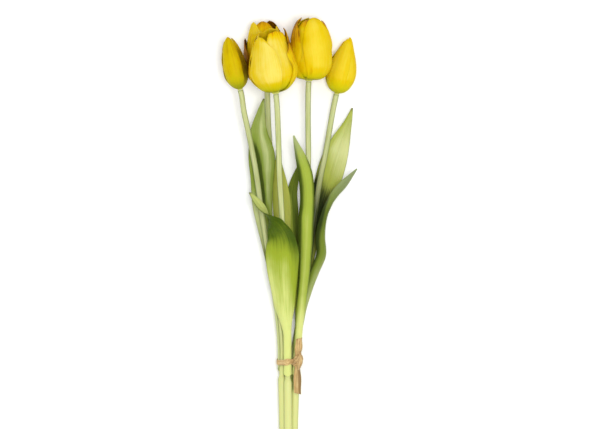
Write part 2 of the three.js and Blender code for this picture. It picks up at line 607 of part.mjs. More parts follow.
const KNOT = { centre: [8.6, -117.6, 20.9], half: [5.4, 7.6, 2.9] };
const KNOT_SECTIONS = [-0.96, -0.7, -0.3, 0.1, 0.5, 0.8, 0.97];
const UPPER_TAIL = [[8.2, -116, 21.4, 2.6, 0.6], [9, -109, 21.8, 3, 0.8], [9.8, -102, 21.6, 3.5, 0.9],
  [10.2, -96.6, 21.2, 3.3, 0.8]];
const LOWER_TAIL = [[8.2, -119, 21.4, 2.6, 0.6], [8.4, -128, 21, 3.1, 0.8], [8.2, -139, 19.8, 3.6, 0.9],
  [7.9, -150.6, 18.7, 3.7, 0.7]];

function knotGeometry() {
  const [cx, cy, cz] = KNOT.centre;
  const [hx, hy, hz] = KNOT.half;
  const rings = KNOT_SECTIONS.map((share, r) => {
    const size = Math.sqrt(1 - share * share);
    return Array.from({ length: KNOT_SIDES }, (_, i) => {
      const angle = (2 * Math.PI * i) / KNOT_SIDES;
      const crease = 1 + KNOT_CREASE.depth * Math.cos(KNOT_CREASE.count * angle + r);
      return vec(cx + hx * size * crease * Math.cos(angle), cy + hy * share,
        cz + hz * size * crease * Math.sin(angle));
    });
  });
  return loft(rings);
}

// ---------------------------------------------------------------- the bunch
const STEM_NAMES = {
  leftBud: "stem_of_left_bud",
  backBloom: "stem_of_back_bloom",
  frontBloom: "stem_of_front_bloom",
  rightBloom: "stem_of_right_bloom",
  rightBud: "stem_of_right_bud",
};
for (const [key, name] of Object.entries(STEM_NAMES)) {
  addPiece(name, stemGeometry(STEMS[key]), COLOURS.stem, ROUGHNESS.green);
}
const OUTER_FACE_SHOWS = ["leaf_of_front_bloom", "front_leaf_of_right_bloom", "outer_leaf_of_right_bud"];
for (const [name, leaf] of Object.entries(LEAVES)) {
  const colour = OUTER_FACE_SHOWS.includes(name) ? COLOURS.leafOuter : COLOURS.leafInner;
  addPiece(name, leafGeometry(leaf), colour, ROUGHNESS.green);
}
for (const [key, head] of Object.entries(HEADS)) {
  addPiece(`${key}_bloom`, bloomGeometry(head), COLOURS.petal, ROUGHNESS.petal);
  addPiece(`${key}_pistil_and_stamens`, pistilGeometry(head), COLOURS.stamen, ROUGHNESS.stamen);
}
for (const [key, head] of Object.entries(BUDS)) {
  addPiece(`${key}_bud`, budGeometry(head), COLOURS.budPetal, ROUGHNESS.petal);
}
addPiece("raffia_tie", fused([
  bandGeometry(), knotGeometry(), stripGeometry(UPPER_TAIL), stripGeometry(LOWER_TAIL),
]), COLOURS.raffia, ROUGHNESS.raffia);

// The origin goes under the middle of the bunch.
const extent = new THREE.Box3().setFromObject(bunch);
const middle = extent.getCenter(vec(0, 0, 0));
bunch.position.set(-middle.x, -middle.y, -extent.min.z);

export default bunch;
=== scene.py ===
"""Looks of a bunch of five yellow tulips tied with raffia, seen from above on a pale floor.

Shapes are worked out in millimetres in the drawing's own frame, where Y runs up the stems and
the tie is at Y = -119, and are then moved to the row frame and scaled to metres.
"""
import math

import bpy
import numpy as np
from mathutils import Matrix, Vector


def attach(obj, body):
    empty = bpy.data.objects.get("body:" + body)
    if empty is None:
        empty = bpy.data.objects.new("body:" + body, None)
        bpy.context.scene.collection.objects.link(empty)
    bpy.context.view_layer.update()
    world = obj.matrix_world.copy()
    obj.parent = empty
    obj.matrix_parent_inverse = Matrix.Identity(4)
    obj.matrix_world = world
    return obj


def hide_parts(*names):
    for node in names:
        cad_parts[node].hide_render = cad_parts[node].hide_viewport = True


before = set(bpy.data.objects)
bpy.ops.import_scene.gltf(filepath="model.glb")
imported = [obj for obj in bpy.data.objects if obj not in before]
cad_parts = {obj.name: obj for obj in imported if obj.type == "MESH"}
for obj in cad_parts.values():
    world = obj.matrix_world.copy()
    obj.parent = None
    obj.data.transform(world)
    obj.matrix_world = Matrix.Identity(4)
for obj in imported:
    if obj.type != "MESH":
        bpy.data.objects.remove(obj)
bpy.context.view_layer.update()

MM = 0.001
TURN = 2 * math.pi
ROW_SHIFT = np.array([-0.561, -0.662, 0.0])  # the drawing's origin in the row frame, mm
TIE_Y = -119.0
SHEATH_RADIUS = 3.72  # from a stem's middle to the middle of a leaf wrapped round it
STEM_RADIUS_UPPER = 2.75
STEM_RADIUS_LOWER = 4.0
TAPER_START, TAPER_END = 0.5, 6.0  # how far below its lowest leaf a stem starts and stops widening
NECK_LENGTH = 6.0  # how far below its head a stem still runs along the head's axis
STEM_UNEVENNESS = 0.09
STEM_RIDGES, RIDGE_HEIGHT = 9, 0.035
LEAF_THICKNESS = 0.7
LEAF_THINNING = 0.92  # how much of its solid's thickness a leaf has here
PETAL_THICKNESS = 0.8
RECEPTACLE_RADIUS = 4.6
RECEPTACLE_DEPTH = 1.6
RECEPTACLE_RISE = 2.2
TOUCH_GAP = 0.3
BASE_CUT = 0.035  # how much higher a leaf's base starts at its margins
FLOOR_GAP = 0.02  # the lowest any point goes above the floor
INSIDE_SHADE = 0.12  # how much deeper in tone the inside of a petal is
STROKE_FADE = 0.04  # over which share of the length a stroke of tone starts and ends
MARGIN_CROWDING = 1.35  # how much closer together a thin sheet's columns lie at its margins
RIM_THINNING, RIM_POWER = 0.82, 8.8  # how much thinner a sheet is at its margins, and how late
TIP_THINNING, TIP_START = 0.8, 0.985  # how much thinner it is at its tip, and from where along it

# How finely things are made: rows along by columns across or round, and sides round.
PETAL_GRID, LEAF_GRID, STRIP_GRID, BAND_GRID, KNOT_GRID = (56, 40), (150, 36), (60, 28), (160, 22), (60, 72)
STEM_ROWS = (90, 8, 34)  # down to its lowest leaf's base, while it widens, and on to the cut
CORE_ROWS, PISTIL_ROWS, STAMEN_ROWS = 34, 40, 26
RECEPTACLE_SIDES, CORE_SIDES, PISTIL_SIDES, STAMEN_SIDES, STEM_SIDES = 28, 36, 24, 10, 32


# ---- numbers
def circle(sides):
    return np.linspace(0, TURN, sides, endpoint=False)


def seed_of(name):
    return sum(map(ord, name))


def tone_of(u, v, levels, strokes=()):
    """Painted light and shade along a petal or leaf, from -1, painted shade, to 1, painted light.

    levels are (share along, tone). A stroke runs from (u0, v0) to (u1, v1) with a half width in v.
    """
    places, tones = zip(*levels)
    total = np.interp(u, places, tones)
    for u0, v0, u1, v1, width, amount in strokes:
        centre = v0 + (v1 - v0) * np.clip((u - u0) / (u1 - u0), 0, 1)
        starts = smooth(u0 - STROKE_FADE, u0 + STROKE_FADE, u)
        ends = smooth(u1 - STROKE_FADE, u1 + STROKE_FADE, u)
        total = total + amount * np.exp(-(((v - centre) / width) ** 2)) * starts * (1 - ends)
    return np.clip(total, -1, 1)


def smooth(low, high, value):
    t = np.clip((value - low) / (high - low), 0, 1)
    return t * t * (3 - 2 * t)


def unit(vectors):
    return vectors / np.maximum(np.linalg.norm(vectors, axis=-1, keepdims=True), 1e-12)


def sample_rows(rows, share):
    """Rows of numbers with Catmull-Rom between them, at shares 0 to 1 of any array shape."""
    rows = np.asarray(rows, float)
    last = len(rows) - 1
    place = np.clip(share, 0, 1) * last
    index = np.minimum(place.astype(int), last - 1)
    t = (place - index)[..., None]
    a, b = rows[np.maximum(index - 1, 0)], rows[index]
    c, d = rows[index + 1], rows[np.minimum(index + 2, last)]
    m0, m1 = (c - a) / 2, (d - b) / 2
    t2, t3 = t * t, t * t * t
    return (2 * t3 - 3 * t2 + 1) * b + (t3 - 2 * t2 + t) * m0 + (3 * t2 - 2 * t3) * c + (t3 - t2) * m1


class Route:
    """A centripetal Catmull-Rom curve through points."""

    def __init__(self, points):
        points = np.asarray(points, float)
        first, last = 2 * points[0] - points[1], 2 * points[-1] - points[-2]
        self.points = np.vstack([first, points, last])
        self.spans = len(points) - 1

    def at(self, share):
        share = np.asarray(share, float)
        place = np.clip(share, 0, 1) * self.spans
        index = np.minimum(place.astype(int), self.spans - 1)
        t = (place - index)[..., None]
        p0, p1, p2, p3 = (self.points[index + i] for i in range(4))
        d0, d1, d2 = (np.sqrt(np.linalg.norm(b - a, axis=-1, keepdims=True))
                      for a, b in ((p0, p1), (p1, p2), (p2, p3)))
        m1 = ((p1 - p0) / d0 - (p2 - p0) / (d0 + d1) + (p2 - p1) / d1) * d1
        m2 = ((p2 - p1) / d1 - (p3 - p1) / (d1 + d2) + (p3 - p2) / d2) * d1
        return p1 + m1 * t + (3 * (p2 - p1) - 2 * m1 - m2) * t**2 + (2 * (p1 - p2) + m1 + m2) * t**3

    def tangent(self, share):
        step = 1e-4
        ahead, behind = np.clip(share + step, 0, 1), np.clip(share - step, 0, 1)
        return unit(self.at(ahead) - self.at(behind))

    def share_at_y(self, y):
        """Where the curve passes a Y, for a curve on which Y falls steadily."""
        low, high = np.zeros_like(y, dtype=float), np.ones_like(y, dtype=float)
        for _ in range(30):
            middle = (low + high) / 2
            above = self.at(middle)[..., 1] > y
            low, high = np.where(above, middle, low), np.where(above, high, middle)
        return (low + high) / 2

    def even(self, share, samples=600):
        """The point at a share of the curve's length."""
        line = self.at(np.linspace(0, 1, samples))
        length = np.concatenate([[0], np.cumsum(np.linalg.norm(np.diff(line, axis=0), axis=1))])
        place = np.clip(share, 0, 1) * length[-1]
        return np.stack([np.interp(place, length, line[:, k]) for k in range(line.shape[1])], axis=-1)


def frame_along(tangent):
    """Z nearest to up and X to the right, both square to a tangent that points up the stem."""
    up = np.zeros_like(tangent)
    up[..., 2] = 1
    z = unit(up - tangent * tangent[..., 2:3])
    return np.cross(tangent, z), z


def waves(u, v, seed, count, amplitude):
    """Gentle unevenness: a seeded sum of sines over u and v."""
    draw = np.random.default_rng(seed)
    total = np.zeros(np.broadcast(u, v).shape)
    for _ in range(count):
        ku, kv = draw.uniform(0.6, 3.2), draw.uniform(-1.6, 1.6)
        total = total + np.sin(TURN * (ku * u + kv * v + draw.uniform())) * draw.uniform(0.4, 1)
    return amplitude * total / count


# ---- meshes
def make_piece(name, shape, material, node):
    """A smooth mesh from (points, faces, fields), riding on the one body and standing for a CAD node."""
    points, faces, fields = shape
    mesh = bpy.data.meshes.new(name)
    points = points + ROW_SHIFT
    points[:, 2] = np.maximum(points[:, 2], FLOOR_GAP)
    mesh.from_pydata((points * MM).tolist(), [], faces)
    mesh.update()
    mesh.polygons.foreach_set("use_smooth", [True] * len(mesh.polygons))
    for field, values in fields.items():
        layer = mesh.attributes.new(field, "FLOAT", "POINT")
        layer.data.foreach_set("value", np.asarray(values, np.float32).ravel())
    piece = bpy.data.objects.new(name, mesh)
    bpy.context.scene.collection.objects.link(piece)
    mesh.materials.append(material)
    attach(piece, "root")
    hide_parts(node)


def painted(shape, levels, strokes=()):
    """The shape with its tone worked out from where each point lies along and across."""
    fields = shape[2]
    fields["tone"] = tone_of(fields["along"], fields["across"], levels, strokes)
    return shape


def tube_faces(rows, sides):
    """Quads round a tube of rings, with a fan from an added point in each end."""
    faces = [[r * sides + i, r * sides + (i + 1) % sides, (r + 1) * sides + (i + 1) % sides,
              (r + 1) * sides + i] for r in range(rows - 1) for i in range(sides)]
    first, last, start = rows * sides, rows * sides + 1, (rows - 1) * sides
    for i in range(sides):
        j = (i + 1) % sides
        faces += [[first, j, i], [last, start + i, start + j]]
    return faces


def join(parts):
    """Several (points, faces, fields) as one."""
    points, faces, fields, offset = [], [], {}, 0
    for part_points, part_faces, part_fields in parts:
        points.append(part_points)
        faces += [[i + offset for i in face] for face in part_faces]
        for field, values in part_fields.items():
            fields.setdefault(field, []).append(np.ravel(values))
        offset += len(part_points)
    return np.vstack(points), faces, {field: np.concatenate(v) for field, v in fields.items()}


def closed_tube(rings, fields=None):
    """rings has shape (rows, sides, 3)."""
    rows, sides = rings.shape[:2]
    ends = np.stack([rings[0].mean(0), rings[-1].mean(0)])
    points = np.vstack([rings.reshape(-1, 3), ends])
    along = np.repeat(np.linspace(0, 1, rows), sides)
    around = np.tile(np.linspace(0, 1, sides, endpoint=False), rows)
    made = {"along": np.append(along, [0, 1]), "across": np.append(around, [0, 0]),
            "side": np.zeros(len(points))}
    made.update(fields or {})
    return points, tube_faces(rows, sides), made


def blade(surface, thickness, rows, columns):
    """A thin closed sheet round surface(u, v), thinner to its margins and its tip.

    side is 1 on the face that the normal across x along points to, and 0 on the other.
    """
    u = np.linspace(0, 1, rows + 1)
    s = np.linspace(-1, 1, columns + 1)
    v = np.sign(s) * (1 - (1 - np.abs(s)) ** MARGIN_CROWDING)
    U, V = np.meshgrid(u, v, indexing="ij")
    P = surface(U, V)
    step = 1e-3
    u0, u1 = np.clip(U - step, 0, 1), np.clip(U + step, 0, 1)
    v0, v1 = np.clip(V - step, -1, 1), np.clip(V + step, -1, 1)
    normal = unit(np.cross(surface(U, v1) - surface(U, v0), surface(u1, V) - surface(u0, V)))
    rim = 1 - RIM_THINNING * np.abs(V) ** RIM_POWER
    tip = 1 - TIP_THINNING * smooth(TIP_START, 1, U)
    half = normal * (thickness * rim * tip / 2)[..., None]
    points = np.vstack([(P + half).reshape(-1, 3), (P - half).reshape(-1, 3)])
    wide, back = columns + 1, (rows + 1) * (columns + 1)
    faces = []
    for r in range(rows):
        for c in range(columns):
            a = r * wide + c
            quad = [a, a + 1, a + 1 + wide, a + wide]
            faces += [quad, [quad[i] + back for i in (0, 3, 2, 1)]]
    edge = list(range(columns))
    edge += [r * wide + columns for r in range(rows)]
    edge += [rows * wide + c for c in range(columns, 0, -1)]
    edge += [r * wide for r in range(rows, 0, -1)]
    for i, a in enumerate(edge):
        b = edge[(i + 1) % len(edge)]
        faces.append([b, a, a + back, b + back])
    fields = {"along": np.tile(U.ravel(), 2), "across": np.tile(V.ravel(), 2),
              "side": np.repeat([1.0, 0.0], U.size)}
    return points, faces, fields


# ---- node materials
class Shader:
    """A node material with short calls for the nodes used here."""

    def __init__(self, name, roughness=0.5, **constants):
        self.material = bpy.data.materials.new(name)
        self.material.use_nodes = True
        self.tree = self.material.node_tree
        self.bsdf = self.tree.nodes["Principled BSDF"]
        self.bsdf.inputs["Roughness"].default_value = roughness
        for socket, value in constants.items():
            self.bsdf.inputs[socket.replace("_", " ")].default_value = value

    def node(self, kind, inputs=None, **settings):
        made = self.tree.nodes.new(kind)
        for key, value in settings.items():
            setattr(made, key, value)
        for key, value in (inputs or {}).items():
            self.put(made.inputs[key], value)
        return made

    def put(self, socket, value):
        if isinstance(value, bpy.types.NodeSocket):
            self.tree.links.new(value, socket)
        elif isinstance(value, tuple) and len(value) == 3 and socket.type == "RGBA":
            socket.default_value = (*value, 1)
        else:
            socket.default_value = value

    def field(self, name):
        return self.node("ShaderNodeAttribute", attribute_name=name).outputs["Fac"]

    def math(self, operation, a, b=0.0, c=0.0):
        return self.node("ShaderNodeMath", {0: a, 1: b, 2: c}, operation=operation).outputs[0]

    def times(self, a, b):
        return self.math("MULTIPLY", a, b)

    def plus(self, a, b):
        return self.math("ADD", a, b)

    def minus(self, a, b):
        return self.math("SUBTRACT", a, b)

    def mix(self, factor, a, b, blend="MIX"):
        made = self.node("ShaderNodeMix", data_type="RGBA", blend_type=blend)
        self.put(made.inputs["Factor"], factor)
        self.put(made.inputs["A"], a)
        self.put(made.inputs["B"], b)
        return made.outputs["Result"]

    def ramp(self, value, *stops):
        """Stops are (place, grey) or (place, (r, g, b))."""
        made = self.node("ShaderNodeValToRGB", {"Fac": value})
        made.color_ramp.interpolation = "EASE"
        elements = made.color_ramp.elements
        while len(elements) < len(stops):
            elements.new(0.5)
        for element, (place, colour) in zip(elements, stops):
            element.position = place
            rgb = (colour,) * 3 if isinstance(colour, (int, float)) else colour
            element.color = (*rgb, 1)
        return made.outputs["Color"]

    def vector(self, x, y, z=0.0):
        return self.node("ShaderNodeCombineXYZ", {"X": x, "Y": y, "Z": z}).outputs[0]

    def noise(self, vector, scale, detail=3.0, roughness=0.55):
        made = self.node("ShaderNodeTexNoise", {
            "Vector": vector, "Scale": scale, "Detail": detail, "Roughness": roughness})
        return made.outputs["Fac"]

    def place(self):
        """The surface's own place in millimetres."""
        here = self.node("ShaderNodeTexCoord").outputs["Object"]
        return self.node("ShaderNodeVectorMath", {0: here, 3: 1 / MM}, operation="SCALE").outputs[0]

    def uneven(self, broad, blotch, share, fine):
        """Noise about nought: all of the fine lines and a share of what is broader."""
        slow = self.plus(self.minus(broad, 0.5), self.minus(blotch, 0.5))
        return self.plus(self.times(slow, share), self.minus(fine, 0.5))

    def finish(self, colour, height, bump_mm, rough=None, strength=0.6):
        self.put(self.bsdf.inputs["Base Color"], colour)
        bump = self.node("ShaderNodeBump", {
            "Height": height, "Distance": bump_mm * MM, "Strength": strength})
        self.put(self.bsdf.inputs["Normal"], bump.outputs[0])
        if rough is not None:
            self.put(self.bsdf.inputs["Roughness"], rough)
        return self.material


def petal_material(name, tones, lime, base, base_reach, seed, streaks):
    """Petal: a colour for each tone from painted shade to painted light, fine lines from base to tip, painted
    shade towards its margins and on its inside, and lime turning green at the base.

    tones are five colours, for tone values -1, -0.7, -0.4, 0 and 1, from deep painted shade to painted light.
    """
    m = Shader(name, roughness=0.5, Subsurface_Weight=0.08, Subsurface_Scale=0.002,
               Specular_IOR_Level=0.04)
    along, across, side, tone = (m.field(f) for f in ("along", "across", "side", "tone"))
    fan = m.vector(m.times(across, 16.0), m.times(along, 1.3), seed)
    lines = m.noise(fan, 1.8, 4.0, 0.62)
    coarse = m.noise(m.vector(m.times(across, 5.0), m.times(along, 1.2), seed), 1.3)
    blotch = m.noise(m.place(), 0.07, 2.0)
    uneven = m.uneven(coarse, blotch, 0.8, lines)
    # Painted shade: a little darker towards the margins, and darker on the inside face.
    margin = m.ramp(m.math("ABSOLUTE", across), (0.86, 0.0), (1.0, 0.1))
    inner = m.times(m.minus(1.0, side), INSIDE_SHADE)
    value = m.math("MULTIPLY_ADD", uneven, streaks, tone)
    value = m.minus(m.minus(value, margin), inner)
    places = (0.0, 0.15, 0.3, 0.5, 1.0)
    colour = m.ramp(m.math("MULTIPLY_ADD", value, 0.5, 0.5), *zip(places, tones))
    claw = m.plus(along, m.times(m.minus(lines, 0.5), 0.16))
    in_light = m.ramp(m.plus(tone, 1.0), (0.0, 0.2), (0.6, 1.0))
    lime_share = m.ramp(claw, (base_reach * 0.45, 1.0), (base_reach, 0.0))
    colour = m.mix(m.times(lime_share, in_light), colour, lime)
    base_share = m.ramp(claw, (0.03, 1.0), (base_reach * 0.6, 0.0))
    colour = m.mix(m.times(base_share, in_light), colour, base)
    height = m.plus(lines, m.times(coarse, 0.8))
    return m.finish(colour, height, 0.22, m.ramp(lines, (0.2, 0.58), (0.8, 0.44)), 0.5)


def leaf_material(name, dark, middle, light, inner_middle, seed, tip, tip_start):
    """Leaf: a colour for each tone from painted shade to painted light, parallel veins, painted shade along a
    thin margin, and a dark tip.
    """
    m = Shader(name, roughness=0.5, Subsurface_Weight=0.05, Subsurface_Scale=0.0015,
               Specular_IOR_Level=0.1)
    along, across, side, tone = (m.field(f) for f in ("along", "across", "side", "tone"))
    fan = m.vector(m.times(across, 22.0), m.times(along, 5.0), seed)
    veins = m.noise(fan, 1.8, 3.0, 0.5)
    ribs = m.node("ShaderNodeTexWave", {"Vector": m.vector(across, m.times(along, 0.05)),
                                        "Scale": 9.0, "Distortion": 1.2, "Detail": 2.0})
    broad = m.noise(m.vector(m.times(across, 1.6), m.times(along, 6.0), seed), 1.0)
    blotch = m.noise(m.place(), 0.05, 3.0)
    uneven = m.uneven(broad, blotch, 0.4, veins)
    value = m.math("MULTIPLY_ADD", uneven, 0.85, tone)
    middle = m.mix(side, middle, inner_middle)
    shaded = m.mix(m.ramp(m.times(value, -1.0), (0.0, 0.0), (1.0, 1.0)), middle, dark)
    colour = m.mix(m.ramp(value, (0.0, 0.0), (1.0, 1.0)), shaded, light)
    # Painted shade along the margin, in the leaf's dark colour.
    edge = m.ramp(m.math("ABSOLUTE", across), (0.93, 0.0), (1.0, 0.5))
    colour = m.mix(edge, colour, dark)
    colour = m.mix(m.ramp(along, (tip_start, 0.0), (1.0, 0.85)), colour, tip)
    height = m.plus(m.times(ribs.outputs["Fac"], 0.6), veins)
    return m.finish(colour, height, 0.2, m.ramp(blotch, (0.3, 0.42), (0.7, 0.56)), 0.6)


def stem_material(name, light, fleck_and_shade, base, dark):
    """Stem: fine lines along it, pale green with olive flecks, paler and yellower to the cut, with painted
    shade on its flanks and where its tone is below nought.
    """
    m = Shader(name, roughness=0.42, Subsurface_Weight=0.08, Subsurface_Scale=0.0015,
               Specular_IOR_Level=0.25)
    along, around, tone = (m.field(f) for f in ("along", "across", "tone"))
    turn = m.times(around, TURN)
    flank = m.math("ABSOLUTE", m.math("COSINE", turn))
    ring = m.vector(m.math("COSINE", turn), m.math("SINE", turn), m.times(along, 2.0))
    lines = m.noise(ring, 7.0, 4.0, 0.6)
    broad = m.noise(m.vector(m.math("COSINE", turn), m.math("SINE", turn),
                             m.times(along, 7.0)), 1.4, 2.0)
    colour = m.mix(m.ramp(lines, (0.34, 0.6), (0.6, 0.0)), light, fleck_and_shade)
    colour = m.mix(m.ramp(broad, (0.4, 0.35), (0.68, 0.0)), colour, fleck_and_shade)
    colour = m.mix(m.ramp(along, (0.62, 0.0), (0.95, 0.8)), colour, base)
    colour = m.mix(m.ramp(along, (0.0, 0.7), (0.025, 0.0)), colour, fleck_and_shade)
    # Painted shade on the stem's flanks, less of it further down the stem.
    outline = m.times(m.ramp(flank, (0.76, 0.0), (0.97, 0.9)),
                     m.ramp(along, (0.45, 1.0), (0.62, 0.4)))
    colour = m.mix(outline, colour, m.mix(0.5, fleck_and_shade, dark))
    # Painted shade where other parts shade the stem, from its tone.
    colour = m.mix(m.times(tone, -1.0), colour, dark)
    return m.finish(colour, lines, 0.18, m.ramp(lines, (0.3, 0.5), (0.7, 0.36)), 0.5)


def raffia_material():
    """Dry palm fibre: strong lengthwise grain from straw to brown, with painted shade from the tone."""
    m = Shader("raffia", roughness=0.75, Sheen_Weight=0.25, Specular_IOR_Level=0.25)
    along, across = m.field("along"), m.field("across")
    grain = m.vector(m.times(across, 7.0), m.times(along, 1.5), 3.0)
    fibre = m.noise(grain, 1.5, 4.0)
    broad = m.noise(m.place(), 0.16, 3.0)
    colour = m.ramp(fibre, (0.32, (0.25, 0.13, 0.035)), (0.5, (0.56, 0.38, 0.15)),
                    (0.68, (0.76, 0.60, 0.30)))
    colour = m.mix(m.ramp(broad, (0.35, 0.5), (0.65, 0.0)), colour, (0.72, 0.6, 0.5), "MULTIPLY")
    # Painted shade on the strips where they fold under, from their tone; the knot's tone only makes it evenly
    # darker.
    colour = m.mix(m.times(m.field("tone"), -1.0), colour, (0.2, 0.115, 0.03))
    return m.finish(colour, fibre, 0.35, m.ramp(fibre, (0.3, 0.85), (0.7, 0.62)), 0.8)


def stamen_material():
    """Green-yellow pistil with dark, powdery anthers; side is 1 on the anthers."""
    m = Shader("stamens", roughness=0.7, Sheen_Weight=0.3)
    grain = m.noise(m.place(), 1.6, 3.0)
    pistil = m.mix(grain, (0.42, 0.46, 0.12), (0.66, 0.62, 0.24))
    anther = m.mix(grain, (0.16, 0.08, 0.02), (0.55, 0.33, 0.06))
    return m.finish(m.mix(m.field("side"), pistil, anther), grain, 0.2)


def core_material():
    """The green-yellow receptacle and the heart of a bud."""
    m = Shader("receptacle", roughness=0.5, Subsurface_Weight=0.05)
    grain = m.noise(m.place(), 0.5, 3.0)
    return m.finish(m.mix(grain, (0.36, 0.40, 0.05), (0.62, 0.58, 0.10)), grain, 0.2)


# ---- heads
# As in the solids: [height, radius] up the cup, and each petal's azimuth (0 up, 90 right), lean
# at the tip, half width, reach along the profile, drop of its corners and flare of its tip.
HEADS = {
    "front": {
        "base": [-13.2, 150.5, 66], "tip": [-19.6, 214, 67],
        "profile": [
            [0, 3], [0.8, 8], [3, 13], [8, 18.5], [14, 22.6], [20, 24.2], [27, 23.6], [36, 21.4],
            [46, 18.4], [54, 15.6], [60, 12.6], [64, 9.5]],
        "outer": [[-39, -4, 25, 0.87, 0.08, 1], [118, -20, 25, 0.98, 0.2, 4], [228, 0, 25, 0.95, 0.16, 0]],
        "inner": [[42, -12, 20, 0.94, 0.03, 1.5], [168, 4, 22, 0.99, 0.05, 1], [-74, -6, 18, 0.92, 0.1, 0]],
    },
    "back": {
        "base": [-22, 157, 20.8], "tip": [-24.6, 221, 22.4],
        "profile": [
            [0, 3], [0.8, 7.5], [3, 12], [8, 17], [15, 20.6], [22, 21.8], [31, 21.4], [42, 19.6],
            [50, 17.6], [57, 15], [62, 12], [65, 9]],
        "outer": [[-102, 8, 22, 0.75, 0.12, 2], [16, -24, 23, 0.985, 0.1, 0], [138, 6, 23, 0.99, 0.14, 0]],
        "inner": [[-42, -26, 25, 0.98, 0.07, 3], [78, 0, 20, 0.9, 0.13, 0], [198, 0, 19, 0.98, 0.15, 0]],
    },
    "right": {
        "base": [19.8, 163.3, 35], "tip": [23.6, 225, 35.5],
        "profile": [
            [0, 3], [0.6, 9], [2.5, 14], [7, 17.8], [14, 20.6], [22, 21.4], [32, 20.4], [42, 19.8],
            [50, 17.6], [57, 13.6], [62, 7]],
        "outer": [[46, -32, 21, 1, 0.12, 0], [164, 0, 23, 0.97, 0.14, 0], [-80, -12, 22, 0.98, 0.08, 3]],
        "inner": [[-24, 2, 20, 0.94, 0.08, 0], [104, -6, 20, 0.94, 0.12, 0], [218, 0, 19, 0.98, 0.1, 0]],
    },
}
BUDS = {
    "left": {
        "base": [-49, 154.5, 38.5], "tip": [-61, 205.5, 39.5],
        "profile": [
            [0, 2.6], [1.5, 5], [5, 8.4], [11, 11.2], [19, 12.1], [28, 11.4], [37, 9.6], [45, 6.8], [50, 4],
            [52.8, 1.2]],
        "outer": [[-30, 6, 13.6, 1, 0.015, 0], [90, 4, 13, 0.95, 0.03, 0], [210, 4, 13, 0.93, 0.03, 0]],
    },
    "right": {
        "base": [47.8, 150.5, 14.05], "tip": [60.4, 206, 15.2],
        "profile": [
            [0, 2.6], [1.2, 6], [4.5, 10], [11, 13.4], [20, 14.7], [29, 13.2], [38, 10], [46, 6.6],
            [52, 3.8], [56.8, 1]],
        "outer": [[-36, 8, 16, 0.96, 0.02, 0], [84, -40, 16, 1, 0.015, 0], [204, 4, 16, 0.93, 0.03, 0]],
    },
}
PETAL_WIDTHS = [[0.34], [0.58], [0.8], [0.95], [1], [0.96], [0.84], [0.66], [0.42]]
BUD_WIDTHS = [[0.5], [0.8], [0.96], [1], [0.98], [0.88], [0.72], [0.5], [0.26]]
OUTER = {"scale": 1.0, "narrowing": 0.0, "lift": 0.0, "spread": 62, "overlap": 0.6}
INNER = {"scale": 0.94, "narrowing": 0.06, "lift": 1.2, "spread": 58, "overlap": 0.5}
BUD_OUTER = {"scale": 0.985, "narrowing": 0.0, "lift": 0.0, "spread": 68, "overlap": 0.5}
CORNER_POWER = 2.3  # how late across a petal its corners drop
FLARE_POWER = 5  # how late along a petal its tip flares
POINT_SHARE, POINT_WIDTH, POINT_POWER = 0.012, 0.2, 8  # a petal's point: length, width, how late
GROOVE_DEPTH, GROOVE_WIDTH, GROOVE_POWER = 0.3, 0.1, 0.7  # the groove down its middle
FULL_WIDTH_FROM = 0.3  # where along it a petal starts to lap and ruffle in full
BLOOM_RUFFLE = 0.45  # how far a petal's margin waves, mm
BUD_RUFFLES = {"left": 0.22, "right": 0.25}
CORE_SHARE = 0.94  # a bud's heart against its outline


class Head:
    """The axis, the directions round it and the outline of one bloom or bud."""

    def __init__(self, base, tip, profile, **petals):
        self.start = np.array(base, float)
        self.axis = unit(np.array(tip, float) - self.start)
        self.right, self.up = frame_along(self.axis)
        self.profile = profile
        self.outline = Route([[radius, height, 0] for height, radius in profile])
        self.petals = petals

    def at(self, height, radius, azimuth):
        height, radius, azimuth = (np.asarray(a, float)[..., None] for a in (height, radius, azimuth))
        return (self.start + self.axis * height + self.up * radius * np.cos(azimuth)
                + self.right * radius * np.sin(azimuth))

    def turned(self, outline, sides):
        outline = np.asarray(outline, float)
        angle = circle(sides)
        heights, angles = np.meshgrid(outline[:, 0], angle, indexing="ij")
        return self.at(heights, np.repeat(outline[:, 1:2], sides, axis=1), angles)


def petal(head, settings, layer, widths, seed, ruffle):
    azimuth, lean, half_width, reach, drop, flare = settings

    def surface(u, v):
        point = POINT_SHARE * np.exp(-((v / POINT_WIDTH) ** 2)) * u**POINT_POWER
        share = reach * u * (1 - drop * np.abs(v) ** CORNER_POWER * u * u + point)
        line = head.outline.even(np.minimum(share, 1))
        scale = layer["scale"] - layer["narrowing"] * u
        rolled = smooth(0, FULL_WIDTH_FROM, u)
        radius = line[..., 0] * scale + layer["overlap"] * v * rolled + flare * u**FLARE_POWER
        groove = np.exp(-((v / GROOVE_WIDTH) ** 2)) * np.sin(math.pi * np.clip(u, 0, 1)) ** GROOVE_POWER
        crimp = waves(u, v, seed, 7, ruffle) * rolled
        edge = ruffle * 1.3 * np.abs(v) ** 4 * np.sin(TURN * (3.1 * u + 0.3 * v + seed)) * rolled
        radius = radius - GROOVE_DEPTH * groove + crimp + edge
        spread = half_width * sample_rows(widths, u)[..., 0] / np.maximum(radius, RECEPTACLE_RADIUS)
        spread = np.minimum(spread, math.radians(layer["spread"]))
        angle = np.radians(azimuth + lean * u * u) + v * spread
        return head.at(line[..., 1] + layer["lift"] * (1 - u), radius, angle)

    return blade(surface, PETAL_THICKNESS, *PETAL_GRID)
